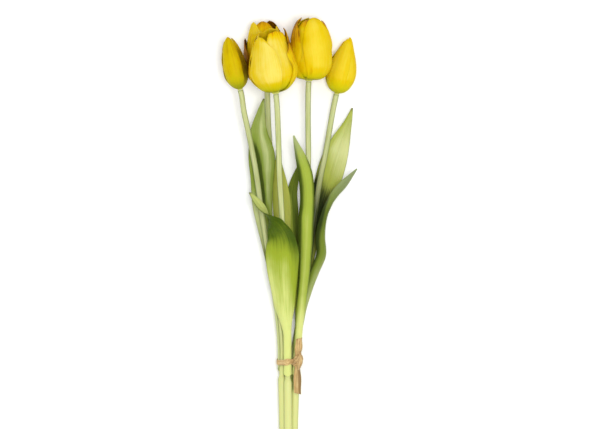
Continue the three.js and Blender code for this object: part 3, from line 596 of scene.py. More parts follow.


# Painted light and shade on each petal: levels along it, then strokes, as tone_of takes them.
FLAT = [(0, 0), (1, 0)]
PETAL_PAINTED_LIGHT_AND_SHADE = {
    "front_bloom_outer_petal_1": (
        [(0, 0), (0.25, 0), (0.45, 0.1), (0.8, 0.1), (1, 0)],
        [(0.3, 0.6, 0.95, 0.6, 0.6, 0.8), (0.2, -0.95, 1, -0.95, 0.3, -0.12)]),
    "front_bloom_inner_petal_1": (
        [(0, -0.1), (0.3, 0), (0.5, 0.25), (0.85, 0.3), (1, -0.35)],
        [(0.2, 0.95, 1, 0.95, 0.45, -0.3), (0.3, -0.5, 0.9, -0.5, 0.4, 0.3)]),
    "front_bloom_outer_petal_2": (
        [(0, -0.1), (0.4, 0.05), (0.65, 0), (0.8, -0.45), (1, -0.7)],
        [(0.5, -0.5, 0.95, -0.4, 0.35, -0.25)]),
    "front_bloom_outer_petal_3": ([(0, 0), (0.5, -0.1), (0.8, 0.05), (1, 0.25)],),
    "front_bloom_inner_petal_2": ([(0, -0.3), (0.8, -0.1), (0.9, 0.1), (1, 0.3)],),
    "front_bloom_inner_petal_3": ([(0, -0.1), (0.8, -0.15), (1, 0)],),
    # painted deep shade: this petal lies in the shade of the blooms beside it
    "back_bloom_outer_petal_1": ([(0, -0.8), (1, -0.85)],),
    "back_bloom_outer_petal_2": ([(0, -0.5), (0.5, -0.5), (0.68, -0.2), (0.8, -0.05), (1, -0.5)],),
    "back_bloom_outer_petal_3": ([(0, -0.5), (1, -0.8)],),
    "back_bloom_inner_petal_1": (
        [(0, -0.5), (0.5, -0.45), (0.7, 0.05), (1, 0.05)],
        [(0.6, 0.5, 1, 0.5, 0.4, 0.2), (0.5, -0.95, 1, -0.95, 0.25, -0.3)]),
    "right_bloom_outer_petal_1": (
        [(0, -0.1), (0.2, 0), (0.35, 0.1), (0.85, 0.1), (1, -0.2)],
        [(0.3, -0.35, 0.95, -0.35, 0.45, 0.6), (0.2, 0.95, 1, 0.9, 0.4, -0.12),
         (0.06, -0.72, 0.34, -0.7, 0.09, -0.45)]),
    # painted shade on the right bloom's left petal, which faces away from the light
    "right_bloom_outer_petal_3": (
        [(0, -0.1), (0.35, -0.05), (0.55, -0.1), (0.75, -0.4), (1, -0.3)],
        [(0.45, 0.1, 1, 0.1, 0.45, -0.4), (0.4, 0.95, 0.65, 0.95, 0.3, 0.3)]),
    "right_bloom_inner_petal_1": (
        [(0, -0.1), (0.35, 0.3), (0.8, 0.3), (1, -0.55)],
        [(0.16, 0.1, 0.36, -0.05, 0.16, -0.25), (0.85, -0.9, 1, -0.9, 0.4, 0.4),
         (0.85, -0.1, 1, -0.1, 0.4, -0.35)]),
    "right_bloom_inner_petal_2": ([(0, -0.2), (0.7, -0.3), (1, -0.5)],),
    "right_bloom_inner_petal_3": ([(0, 0), (0.75, 0.1), (1, 0.5)],),
    "left_bud_petal_1": (
        [(0, 0.1), (0.3, 0.1), (0.9, 0.0), (1, -0.2)],
        [(0.1, 0.95, 1, 0.95, 0.3, -0.35), (0.15, -0.8, 0.9, -0.8, 0.4, 0.25),
         (0.3, 0.1, 0.95, 0.1, 0.3, -0.15)]),
    # painted shade on the side of the bud turned away from the light
    "left_bud_petal_2": ([(0, -0.6), (0.3, -1), (0.45, -0.85), (0.7, -0.65), (1, -0.4)],),
    "right_bud_petal_1": (
        [(0, 0), (0.3, 0.1), (0.9, 0.1), (1, -0.1)],
        [(0.3, 0.5, 0.95, 0.5, 0.5, 0.4), (0.4, -0.15, 0.8, -0.15, 0.3, 0.2),
         (0.2, -0.75, 0.9, -0.75, 0.35, -0.2)]),
    "right_bud_petal_2": (
        [(0, 0), (0.3, 0.15), (0.9, 0.1), (1, -0.1)],
        [(0.3, -0.8, 0.9, -0.8, 0.4, 0.5), (0.1, 0.15, 1, 0.15, 0.4, -0.2)]),
}


def build_petals(prefix, head, layer_name, layer, widths, seeds, ruffle, material, node):
    for i, (settings, seed) in enumerate(zip(head.petals[layer_name], seeds)):
        name = f"{prefix}_{i + 1}"
        shape = petal(head, settings, layer, widths, seed, ruffle)
        make_piece(name, painted(shape, *PETAL_PAINTED_LIGHT_AND_SHADE.get(name, (FLAT,))), material, node)


def build_bloom(name, material, core):
    head, node = Head(**HEADS[name]), f"{name}_bloom"
    for layer_name, layer in (("outer", OUTER), ("inner", INNER)):
        seeds = [seed_of(name) + 10 * i + len(layer_name) for i in range(3)]
        build_petals(f"{node}_{layer_name}_petal", head, layer_name, layer, PETAL_WIDTHS, seeds,
                     BLOOM_RUFFLE, material, node)
    outline = [[-RECEPTACLE_DEPTH, STEM_RADIUS_UPPER], [-RECEPTACLE_DEPTH * 0.7, 3.4],
               [-RECEPTACLE_DEPTH / 3, RECEPTACLE_RADIUS * 0.9], [RECEPTACLE_RISE / 2, RECEPTACLE_RADIUS],
               [RECEPTACLE_RISE, RECEPTACLE_RADIUS * 0.75]]
    make_piece(f"{node}_receptacle", closed_tube(head.turned(outline, RECEPTACLE_SIDES)), core, node)
    return head


def build_bud(name, material, core):
    head, node = Head(**BUDS[name]), f"{name}_bud"
    outline = [[-RECEPTACLE_DEPTH, STEM_RADIUS_UPPER]]
    outline += [[height, radius * CORE_SHARE] for height, radius in head.profile[:-1]]
    smoothed = Route([[radius, height, 0] for height, radius in outline]).at(np.linspace(0, 1, CORE_ROWS))
    rings = head.turned(smoothed[:, [1, 0]], CORE_SIDES)
    make_piece(f"{node}_core", closed_tube(rings), core, node)
    seeds = [seed_of(name) + 7 * i for i in range(3)]
    build_petals(f"{node}_petal", head, "outer", BUD_OUTER, BUD_WIDTHS, seeds, BUD_RUFFLES[name],
                 material, node)


# A stamen as [height, distance from the axis, radius], and the height at which its anther starts.
STAMEN = [[0.4, 2.1, 0.5], [3, 3.5, 0.5], [6.6, 5.0, 0.42], [7.2, 5.3, 0.5], [8.2, 5.6, 1.05], [12, 6.1, 1.2],
          [16, 6.5, 0.95], [17.2, 6.6, 0.4]]
ANTHER_START = 7.4
STAMEN_COUNT = 6
# The pistil as [distance from the axis, height above its foot].
PISTIL = [[1.9, 0], [2.1, 4], [2.3, 9], [1.9, 16], [1.8, 18], [3.0, 19.4], [2.2, 21], [0.8, 21.2]]


def build_pistil(name, head, material):
    foot = RECEPTACLE_RISE + 1.5 * TOUCH_GAP
    turn = circle(PISTIL_SIDES)
    outline = Route([[radius, foot + height, 0] for radius, height in PISTIL])
    outline = outline.at(np.linspace(0, 1, PISTIL_ROWS))
    lobes = 1 + 0.16 * np.cos(3 * turn)
    rings = head.at(outline[:, 1:2] + 0 * turn, outline[:, 0:1] * lobes, turn + 0 * outline[:, 0:1])
    parts = [closed_tube(rings)]
    path = sample_rows(STAMEN, np.linspace(0, 1, STAMEN_ROWS))
    turns = circle(STAMEN_SIDES)
    for i in range(STAMEN_COUNT):
        azimuth = math.pi * (2 * i + 1) / STAMEN_COUNT
        away = path[:, 1:2] + path[:, 2:3] * np.cos(turns)
        angle = azimuth + path[:, 2:3] * np.sin(turns) / path[:, 1:2]
        rings = head.at(foot + path[:, 0:1] + 0 * away, away, angle)
        anther = np.append(np.repeat(path[:, 0] > ANTHER_START, STAMEN_SIDES).astype(float), [0, 1])
        parts.append(closed_tube(rings, {"side": anther}))
    make_piece(f"{name}_pistil_with_stamens", join(parts), material,
               f"{name}_pistil_and_stamens")


# ---- stems
# The middle of each stem below its neck, down to the cut.
STEMS = {
    "left_bud": [
        [-45.3, 133, 38], [-41, 113, 36.5], [-36.9, 93, 34.5], [-33.2, 73, 32], [-30.3, 53, 29.5],
        [-27, 28, 26.3], [-21, -7, 21.5], [-14, -47, 17], [-9.2, -80, 14.4], [-7.4, -105, 13.3],
        [-7.3, TIE_Y, 13.2], [-6.6, -150, 12.9], [-4.8, -222, 12.5]],
    "back_bloom": [
        [-21.2, 133, 19.4], [-20.3, 113, 17.4], [-19, 93, 15.1], [-18.6, 63, 12.3], [-19.2, 28, 9.7],
        [-16.8, -7, 7.8], [-9.8, -57, 6.1], [-5.8, -95, 5.5], [-4.2, TIE_Y, 5.4], [-4.2, -150, 5.1],
        [-4.2, -224, 4.1]],
    "front_bloom": [
        [-11.7, 133, 64], [-10.9, 113, 60], [-10.2, 93, 55], [-9.2, 63, 47.5], [-7.4, 33, 40.5],
        [-6, 3, 34], [-4.2, -27, 28.5], [-2.4, -57, 24], [-1.6, -92, 20.2], [-1.4, TIE_Y, 19.1],
        [-1.1, -150, 19.2], [-0.7, -221, 19.9]],
    "right_bloom": [
        [19.1, 145, 34.5], [19, 123, 32.6], [19.3, 85, 28.4], [18.4, 53, 24.8], [17, 23, 21.4],
        [15.4, -7, 18.6], [12, -57, 15.2], [9.2, -95, 13.6], [7.3, TIE_Y, 13.6], [6, -150, 13.3],
        [3.8, -223.5, 12.7]],
    "right_bud": [
        [44, 133, 14], [40.5, 113, 14], [36.6, 90, 13.6], [31, 63, 12.7], [27.2, 38, 11.4],
        [23.6, 13, 9.8], [20, -17, 8], [15, -57, 6.2], [7.6, -97, 5.5], [4.6, TIE_Y, 5.4],
        [4.3, -150, 5.1], [4.1, -219, 4.1]],
}
CUT_EDGE = 0.93  # how much of its radius a stem keeps at the rim of the cut
# Painted shade along two stems where leaves shade them, as levels along each stem.
STEM_PAINTED_SHADE = {
    "right_bud": [(0, 0), (0.24, 0), (0.33, -0.15), (0.4, -0.3), (0.44, -0.65), (0.48, -0.95), (0.62, -1),
                  (0.66, -0.3), (0.7, 0), (1, 0)],
    "left_bud": [(0, 0), (0.18, 0), (0.28, -0.12), (0.5, -0.15), (0.58, 0), (1, 0)],
}


def stem_curve(name):
    side, kind = name.split("_")
    head = Head(**{"bloom": HEADS, "bud": BUDS}[kind][side])
    top = head.start - head.axis * (RECEPTACLE_DEPTH + TOUCH_GAP)
    return Route([top, top - head.axis * NECK_LENGTH, *STEMS[name]])


def stem_of(leaf_name):
    return leaf_name.split("leaf_of_")[1]


CURVES = {name: stem_curve(name) for name in STEMS}


def build_stem(name, material):
    curve = CURVES[name]
    leaf_base = min(leaf["base"] for leaf_name, leaf in LEAVES.items() if stem_of(leaf_name) == name)
    node_share = float(curve.share_at_y(np.array(leaf_base - TAPER_START)))
    taper_share = float(curve.share_at_y(np.array(leaf_base - TAPER_END)))
    ends = (0, node_share, taper_share, 1)
    spans = [np.linspace(a, b, rows)[1:] for a, b, rows in zip(ends, ends[1:], STEM_ROWS)]
    share = np.concatenate([[0], *spans])
    turn = circle(STEM_SIDES)
    T = -curve.tangent(share)
    X, Z = frame_along(T)
    growth = smooth(node_share, taper_share, share)
    radius = STEM_RADIUS_UPPER + (STEM_RADIUS_LOWER - STEM_RADIUS_UPPER) * growth
    seed = seed_of(name)
    uneven = waves(share[:, None] * 3, 0 * turn[None], seed, 6, STEM_UNEVENNESS)
    ridges = RIDGE_HEIGHT * np.cos(STEM_RIDGES * turn + seed) * (0.4 + 0.6 * growth[:, None])
    rings_radius = radius[:, None] + uneven + ridges
    rings_radius[-1] *= CUT_EDGE
    P = curve.at(share)
    rings = (P[:, None] + X[:, None] * (rings_radius * np.cos(turn))[..., None]
             + Z[:, None] * (rings_radius * np.sin(turn))[..., None])
    shape = closed_tube(rings, {"along": np.append(np.repeat(share, STEM_SIDES), [0, 1])})
    make_piece(f"stem_{name}", painted(shape, STEM_PAINTED_SHADE.get(name, FLAT)), material,
               f"stem_of_{name}")


# ---- leaves
# Free stations: [x, y, z, half width, roll, curl], as in the solids.
LEAVES = {
    "leaf_of_left_bud": {
        "base": -131, "top": -62, "roll": 0, "wrap": 150, "wave": 1.1,
        "free": [
            [-16, -32, 14.5, 8.6, 0, 118], [-19.6, -8, 17, 8, -4, 80], [-23.6, 16, 18.6, 8.8, -6, 55],
            [-26.5, 40, 19.8, 11, -8, 42], [-26.2, 64, 21.4, 12.7, -10, 40],
            [-26.8, 88, 23.6, 14.2, -8, 38], [-30, 110, 25.4, 9.4, -6, 30], [-28, 130, 26.4, 4.4, -4, 24],
            [-25.2, 144.3, 27, 0.8, 0, 20]],
    },
    "leaf_of_back_bloom": {
        "base": -139, "top": -70, "roll": -40, "wrap": 150, "wave": 0.7,
        "free": [
            [-8.2, -42, 2.8, 9, -38, 100], [-7.4, -20, 3.2, 9, -32, 70], [-5.2, 2, 3.6, 9.6, -26, 48],
            [-5.4, 24, 4.4, 10.4, -22, 38], [-6.6, 42, 5.4, 9.8, -18, 34], [-8.6, 60, 6.8, 7.6, -14, 28],
            [-10.6, 78, 8.4, 4.2, -8, 22], [-11, 93, 9.6, 0.8, 0, 18]],
    },
    "leaf_of_front_bloom": {
        "base": -134, "top": -92, "roll": 180, "wrap": 150, "wave": 1.2,
        "free": [
            [-3.7, -70, 27.8, 12.7, 180, 82], [-5, -50, 30.8, 15.4, 180, 66],
            [-6.2, -30, 34.8, 17.8, 180, 53], [-6.8, -12, 39, 19, 180, 50], [-7.8, 4, 42.6, 15.2, 180, 46],
            [-13, 15, 44.4, 11, 176, 42], [-19.5, 24, 45.4, 6.6, 104, 38], [-26.4, 33.5, 44.6, 5, 42, 34],
            [-33, 42.5, 43, 3.4, 14, 28], [-39.6, 50.6, 41.4, 0.8, 6, 20]],
    },
    "front_leaf_of_right_bloom": {
        "base": -136, "top": -86, "roll": 184, "wrap": 80, "wave": 0.8,
        "free": [
            [12.6, -57, 19.8, 6.8, 182, 76], [15, -32, 23, 7.8, 180, 76], [16.4, -4, 27.2, 9, 180, 64],
            [17, 22, 30.6, 9, 180, 58], [18.2, 46, 33.6, 8.4, 180, 56], [16.4, 68, 36, 8.4, 180, 52],
            [11.6, 86, 37.4, 5.8, 182, 42], [7.6, 98, 38, 3, 184, 32], [4.6, 107.4, 38.2, 0.8, 184, 20]],
    },
    "back_leaf_of_right_bloom": {
        "base": -144, "top": -86, "roll": 4, "wrap": 80, "wave": 0.6,
        "free": [
            [9, -60, 10.6, 4.8, 12, 66], [7.4, -36, 7.4, 5.8, 8, 46], [6.2, -10, 4.6, 6.2, 4, 30],
            [4.6, 12, 2.6, 5.8, -2, 22], [3.6, 32, 2.2, 6, -4, 18], [3.2, 50, 2.6, 5.2, -4, 18],
            [6.6, 66, 3.6, 3.6, -4, 18], [10.5, 79, 4.8, 0.8, 0, 16]],
    },
    "inner_leaf_of_right_bud": {
        "base": -141, "top": -40, "roll": 14, "wrap": 80, "wave": 1.3,
        "free": [
            [21, -12, 4, 6.4, 8, 78], [25.4, 10, 4, 7.4, 2, 64], [29.6, 30, 4.4, 10, -4, 40],
            [35, 48, 5.2, 12.6, -8, 26], [40.4, 66, 6.2, 13.8, -10, 20], [45.8, 84, 7.6, 13, -10, 18],
            [52, 102, 9.6, 9.6, -10, 18], [58.8, 120, 11.6, 4.4, -8, 18], [63.3, 135, 12.8, 0.8, 0, 16]],
    },
    "outer_leaf_of_right_bud": {
        "base": -131, "top": -66, "roll": -162, "wrap": 80, "wave": 0.9,
        "free": [
            [22.3, -44, 11.5, 5.8, -142, 74], [28.4, -28, 12, 7.4, -136, 66],
            [34.6, -12, 13.6, 8.4, -132, 58], [34, 6, 15.4, 8, -126, 52], [36, 22, 17.4, 7.2, -120, 46],
            [39.8, 36, 19.6, 6.8, -126, 38], [47, 49, 22, 6.2, -134, 30], [57, 61, 24, 4.4, -140, 24],
            [68, 74.2, 25.4, 0.8, -140, 18]],
    },
}
SHEATH_SHARE = 4 / 14  # the part of u that lies along the sheath, as in the solids
LEAD_IN = 20.0  # how far below the end of its sheath the curve of a free blade is led in


def leaf_stations(name):
    """A function from u to [x, y, z, half width, roll, curl], first along the stem, then free."""
    leaf, curve = LEAVES[name], CURVES[stem_of(name)]
    roll, wrap = leaf["roll"], leaf["wrap"]
    width = SHEATH_RADIUS * math.radians(wrap)

    def on_stem(y):
        share = curve.share_at_y(y)
        X, Z = frame_along(-curve.tangent(share))
        inward = Z * math.cos(math.radians(roll)) + X * math.sin(math.radians(roll))
        spine = curve.at(share) - inward * SHEATH_RADIUS
        rest = np.broadcast_to([width, roll, wrap], spine.shape)
        return np.concatenate([spine, rest], axis=-1)

    top = leaf["top"]
    opening = np.vstack([on_stem(np.array([top - LEAD_IN, top])), leaf["free"]])
    start = 1 / (len(opening) - 1)

    def station(u):
        u = np.clip(u, 0, 1)
        sheath = on_stem(leaf["base"] + (top - leaf["base"]) * np.minimum(u / SHEATH_SHARE, 1))
        free = np.clip((u - SHEATH_SHARE) / (1 - SHEATH_SHARE), 0, 1)
        free = sample_rows(opening, start + (1 - start) * free)
        return np.where((u <= SHEATH_SHARE)[..., None], sheath, free)

    return station


# Painted light and shade on each face of a leaf. A face that isn't named has PALE_BASE alone:
# a pale lower leaf, partly the sheath's own paler colour and partly painted light.
PALE_BASE = [(0, 1), (0.25, 0.9), (0.45, 0.2), (0.6, 0), (1, 0)]
LEAF_PAINTED_LIGHT_AND_SHADE = {
    "leaf_of_left_bud": {
        "inner": (
            [(0, 1), (0.46, 1), (0.56, 0.2), (0.68, 0), (0.85, 0.15), (1, 0.25)],
            [(0.63, 0.03, 0.81, -0.52, 0.23, -1.3), (0.48, 0.9, 0.65, -0.02, 0.28, -1.2),
             (0.56, 0.5, 0.9, 0.2, 0.3, 0.55), (0.3, -0.9, 0.62, -0.8, 0.5, 1),
             (0.86, 0.75, 0.97, 0.6, 0.35, 0.35), (0.78, 1.0, 0.86, 1.0, 0.12, -0.6)]),
        "outer": ([(0, 1), (0.45, 0.9), (0.6, 0.2), (1, 0)],)},
    "leaf_of_back_bloom": {
        "inner": (
            [(0, 1), (0.45, 0.55), (0.6, 0.4), (0.75, 0.35), (0.9, 0.25), (1, -0.2)],
            [(0.55, -0.95, 1, -0.95, 0.22, -0.8), (0.55, -0.4, 0.8, -0.4, 0.25, 0.3)])},
    "leaf_of_front_bloom": {
        "outer": (
            [(0, 1), (0.3, 1), (0.39, 0.6), (0.46, 0.35), (0.54, 0.05), (0.61, -0.4), (0.68, -0.8),
             (0.76, -1), (0.83, -0.75), (1, -0.4)],
            [(0.36, -0.95, 0.66, -0.8, 0.42, -0.5), (0.38, 0.95, 0.6, 0.9, 0.4, 0.3),
             (0.08, -0.95, 0.3, -0.95, 0.3, -0.4), (0.4, -0.1, 0.58, -0.1, 0.3, 0.2),
             (0.4, 0.65, 0.62, 0.65, 0.25, 0.12)]),
        "inner": ([(0, 0), (1, 0.25)], [(0.75, -1, 1, -1, 0.4, -0.8)])},
    "front_leaf_of_right_bloom": {
        "outer": (
            [(0, 1), (0.3, 0.8), (0.38, 0.12), (0.48, 0.03), (0.6, 0), (0.8, 0.1), (0.9, 0.25), (1, 0.3)],
            [(0.33, 0.85, 0.95, 0.72, 0.42, -1.15), (0.34, -0.95, 0.84, -0.95, 0.34, -0.85),
             (0.14, 0.9, 0.33, 0.9, 0.4, -0.6), (0.34, 0, 0.62, 0, 0.3, 0.25)])},
    "back_leaf_of_right_bloom": {
        "inner": (
            [(0, 1), (0.3, 0.8), (0.48, 0.7), (0.58, 0), (1, 0.15)],
            [(0.5, -0.35, 0.8, -0.4, 0.35, 0.75), (0.5, 0.6, 0.75, 0.6, 0.5, -0.5)])},
    "inner_leaf_of_right_bud": {
        "inner": (
            [(0, 0.5), (0.3, 0), (0.4, -0.6), (0.46, -1), (0.55, -1), (0.62, -0.65), (0.7, 0.12),
             (0.8, 0.7), (0.9, 0.5), (1, 0.1)],
            [(0.6, -0.95, 1, -0.95, 0.5, -0.55), (0.64, 0.6, 0.86, 0.6, 0.5, 0.3)])},
    "outer_leaf_of_right_bud": {
        "outer": (
            [(0, 1), (0.25, 0.95), (0.38, 0.5), (0.5, 0.15), (0.6, -0.15), (0.66, -0.4), (0.75, -0.35),
             (0.85, -0.05), (1, 0.2)],
            [(0.3, 0.95, 0.82, 0.95, 0.4, -1), (0.4, -0.5, 0.66, -0.5, 0.4, 0.3),
             (0.76, 0.6, 0.95, 0.6, 0.4, 0.3)]),
        "inner": ([(0, 0.8), (0.3, 0.3), (0.5, -0.8), (1, -0.5)],)},
}


def build_leaf(name, material):
    station, wave = leaf_stations(name), LEAVES[name]["wave"]
    seed = seed_of(name)

    def surface(u, v):
        cut = u + BASE_CUT * (1 - u) ** 8 * np.abs(v)
        here = station(cut)
        step = 2e-3
        T = unit(station(cut + step)[..., :3] - station(cut - step)[..., :3])
        X, Z = frame_along(T)
        roll = np.radians(here[..., 4:5])
        N = Z * np.cos(roll) + X * np.sin(roll)
        B = X * np.cos(roll) - Z * np.sin(roll)
        bend = np.radians(np.maximum(here[..., 5], 1))
        ring = here[..., 3] / bend
        opened = smooth(0.4, 0.65, u) * smooth(0, 0.15, 1 - u)
        ripple = wave * opened * np.abs(v) ** 3 * np.sin(TURN * (3.2 * u + 0.23 * v))
        fold = 0.5 * opened * np.exp(-((v / 0.07) ** 2))
        uneven = waves(u * 1.6, v * 0.5, seed, 6, 0.35) * opened
        lift = ring * (1 - np.cos(v * bend)) + ripple - fold + uneven
        return here[..., :3] + B * (ring * np.sin(v * bend))[..., None] + N * lift[..., None]

    shape = blade(surface, LEAF_THICKNESS * LEAF_THINNING, *LEAF_GRID)
    fields = shape[2]
    inner, outer = (tone_of(fields["along"], fields["across"], *LEAF_PAINTED_LIGHT_AND_SHADE[name].get(face, (PALE_BASE,)))
                    for face in ("inner", "outer"))
    fields["tone"] = np.where(fields["side"] > 0.5, inner, outer)
    make_piece(name + "_blade", shape, material, name)


# ---- raffia
BAND_HALF_WIDTH = 3.4
BAND_THICKNESS = 0.95
BAND_INSIDE, BAND_OUTSIDE = 0.45, 0.5  # how far off the leaves its faces lie, wrinkles apart
GRAIN_LENGTHS = 8  # how many lengths of grain go round the band
STRIP_THICKNESS = 0.5
SHEATH_OUTER = SHEATH_RADIUS + LEAF_THICKNESS / 2


def band_points(angle, clearance, y):
    """The way round the stems at Y: in each direction the stem that reaches furthest."""
    y = np.asarray(y, float)
    centres = np.stack([curve.at(curve.share_at_y(y)) for curve in CURVES.values()])
    reach = centres[..., 0] * np.cos(angle) + centres[..., 2] * np.sin(angle)
    far = np.take_along_axis(centres, reach.argmax(0)[None, ..., None], axis=0)[0]
    radius = SHEATH_OUTER + clearance
    return np.stack([far[..., 0] + radius * np.cos(angle), y + 0 * angle,
                     far[..., 2] + radius * np.sin(angle)], axis=-1)


def raffia_band():
    steps, ribs = BAND_GRID
    angle = circle(steps)
    pinch = 0.85 + 0.15 * np.cos(3 * angle + 1)
    slide = 0.5 * np.sin(2 * angle)
    s = np.linspace(-1, 1, ribs)
    A, S = np.meshgrid(angle, s, indexing="ij")
    y = TIE_Y + slide[:, None] + BAND_HALF_WIDTH * pinch[:, None] * S
    wrinkle = 0.2 * np.sin(9 * S + 2.2 * np.sin(3 * A)) + 0.12 * np.sin(21 * S + 4 * A)
    height = BAND_THICKNESS * (0.62 + wrinkle) * (1 - 0.45 * S**6)
    outer = band_points(A, BAND_OUTSIDE + height, y)
    inner = band_points(A, BAND_INSIDE + 0 * S, y)
    points = np.vstack([outer.reshape(-1, 3), inner.reshape(-1, 3)])
    back = steps * ribs
    faces = []
    for i in range(steps):
        j = (i + 1) % steps
        for k in range(ribs - 1):
            a, b, c, d = i * ribs + k, i * ribs + k + 1, j * ribs + k + 1, j * ribs + k
            faces += [[a, b, c, d], [a + back, d + back, c + back, b + back]]
        for k, flip in ((0, False), (ribs - 1, True)):
            quad = [i * ribs + k, j * ribs + k, j * ribs + k + back, i * ribs + k + back]
            faces.append(quad[::-1] if flip else quad)
    fields = {"along": np.tile((A / TURN * GRAIN_LENGTHS).ravel(), 2), "across": np.tile(S.ravel(), 2),
              "side": np.zeros(2 * back)}
    return points, faces, fields


def raffia_strip(stations, seed):
    """A folded strip through its stations, creased along and ragged at its margins."""
    phase = np.random.default_rng(seed).uniform(0, 6, 3)

    def surface(u, v):
        x, y, z, half, fold = np.moveaxis(sample_rows(stations, u), -1, 0)
        crease = 0.3 * np.sin(6 * v + 3 * u + phase[0]) + 0.16 * np.sin(15 * v + 5 * u + phase[1])
        ragged = 0.35 * np.sin(9 * u + phase[2]) * v
        return np.stack([x + v * half + ragged, y + 0.8 * v * np.sin(phase[1]),
                         z + fold * np.cos(v * 2.2) + crease], axis=-1)

    return blade(surface, STRIP_THICKNESS, *STRIP_GRID)


KNOT_CENTRE = np.array([8.8, -117.6, 20.7])
KNOT_HALF = np.array([4.9, 7.2, 2.7])
# the knot is evenly darker than the band
KNOT_TONE = -0.22


def raffia_knot():
    rows, sides = KNOT_GRID
    share = np.sin(np.linspace(-0.49, 0.49, rows) * math.pi)
    turn = circle(sides)
    A, S = np.meshgrid(turn, share, indexing="xy")
    size = np.sqrt(1 - S**2)
    crease = 1 + 0.11 * np.cos(5 * A + 2.5 * S) + 0.05 * np.cos(13 * A - 6 * S) + 0.05 * np.sin(9 * S)
    waist = 1 - 0.14 * np.exp(-((S / 0.25) ** 2))
    rings = np.stack([KNOT_CENTRE[0] + KNOT_HALF[0] * size * crease * waist * np.cos(A) + 1.2 * S,
                      KNOT_CENTRE[1] + KNOT_HALF[1] * S + 0.6 * np.sin(3 * A) * size,
                      KNOT_CENTRE[2] + KNOT_HALF[2] * size * crease * waist * np.sin(A)], axis=-1)
    across = np.repeat(share[:, None], sides, 1)
    shape = closed_tube(rings, {"along": np.append(np.repeat(turn[None], rows, 0) / 2, [0, 1]),
                                "across": np.append(across, [0, 0])})
    return painted(shape, [(0, KNOT_TONE), (1, KNOT_TONE)])


# Folded strips of raffia as [x, y, z, half width, fold height], and the painted light and shade on them.
STRIPS = {
    "raffia_upper_tail": {
        "stations": [
            [8.6, -112, 22, 2.8, 0.9], [9.4, -108, 22.4, 3.3, 1.0], [9.8, -102, 22, 3.6, 1.1],
            [10, -97, 21.6, 3.3, 1.0], [10.2, -95.4, 21.2, 2.9, 0.8]],
        "tone": ([(0, -0.3), (0.3, 0), (0.85, 0.1), (1, -0.7)], [(0, 0.95, 1, 0.95, 0.3, -0.5)]), "seed": 3},
    "raffia_lower_tail": {
        "stations": [
            [8.2, -119, 21.6, 2.6, 0.6], [8.4, -128, 21.2, 3.1, 0.8], [8.4, -139, 20, 3.7, 0.9],
            [8.5, -150.6, 18.9, 3.8, 0.7]],
        "tone": ([(0, -0.2), (1, 0)], [(0.1, 0.65, 1.1, 0.7, 0.5, -0.95)]), "seed": 5},
    "raffia_strand_down": {
        "stations": [
            [9.4, -108, 23.2, 1.4, 0.7], [10.9, -112, 23.9, 1.9, 0.9], [11.6, -117, 24, 2.1, 1.0],
            [10.6, -122, 23.8, 1.9, 0.9], [9.2, -127, 22.8, 1.4, 0.7]],
        "tone": ([(0, 0), (0.5, 0.1), (1, -0.3)], [(0, 0.95, 1, 0.95, 0.35, -0.7)]), "seed": 8},
    "raffia_strand_over": {
        "stations": [
            [3.4, -121.6, 21.4, 1.5, 0.6], [5.6, -119.6, 23.4, 2.0, 0.9], [8, -117.2, 24.3, 2.2, 1.0],
            [10, -113.6, 23.9, 2.0, 0.8], [11.2, -109.8, 22.8, 1.5, 0.6]],
        "tone": ([(0, -0.2), (0.5, 0.1), (1, -0.1)], [(0, -0.95, 1, -0.95, 0.35, -0.7)]), "seed": 11},
}


def build_tie(material):
    pieces = {"raffia_band": raffia_band(), "raffia_knot": raffia_knot()}
    for name, strip in STRIPS.items():
        pieces[name] = painted(raffia_strip(strip["stations"], strip["seed"]), *strip["tone"])
    for name, shape in pieces.items():
        make_piece(name, shape, material, "raffia_tie")


# ---- the bunch
# Petal colours for tone -1, -0.7, -0.4, 0 and 1: BROWN, UMBER and GOLD are painted shade, YELLOW the petals'
# own colour and the last one painted light; the petals' streaks move between them too.
BROWN, UMBER, GOLD, YELLOW = (0.10, 0.036, 0.001), (0.27, 0.105, 0.001), (0.55, 0.29, 0.0), (0.65, 0.46, 0.0)
LIME, BASE = (0.50, 0.44, 0.0), (0.24, 0.24, 0.006)
PALE_TONES = (BROWN, UMBER, GOLD, YELLOW, (0.72, 0.59, 0.10))
DEEP_TONES = (BROWN, UMBER, GOLD, YELLOW, (0.71, 0.55, 0.035))
OLIVE_TONES = ((0.085, 0.055, 0.003), (0.19, 0.12, 0.001), (0.42, 0.27, 0.0), (0.54, 0.40, 0.0),
               (0.52, 0.43, 0.02))
# Petals: colours from deep painted shade to painted light, the two at the base and how far they reach, a
# seed, and streaks.
PETAL_LOOKS = {
    "front": (PALE_TONES, LIME, BASE, 0.34, 3.0, 1.1),
    "back": (PALE_TONES, LIME, BASE, 0.26, 8.0, 1.0),
    "right": (DEEP_TONES, LIME, BASE, 0.28, 13.0, 1.1),
    "left_bud": (OLIVE_TONES, (0.47, 0.40, 0.002), (0.28, 0.28, 0.006), 0.42, 21.0, 1.0),
    "right_bud": (DEEP_TONES, (0.56, 0.48, 0.002), (0.42, 0.41, 0.008), 0.34, 34.0, 1.0),
}
# Stems: pale green, an olive for flecks and painted shade, the colour towards the cut, and deep painted
# shade.
STEM_COLOURS = ((0.54, 0.56, 0.27), (0.26, 0.32, 0.08), (0.60, 0.62, 0.22), (0.022, 0.034, 0.0))
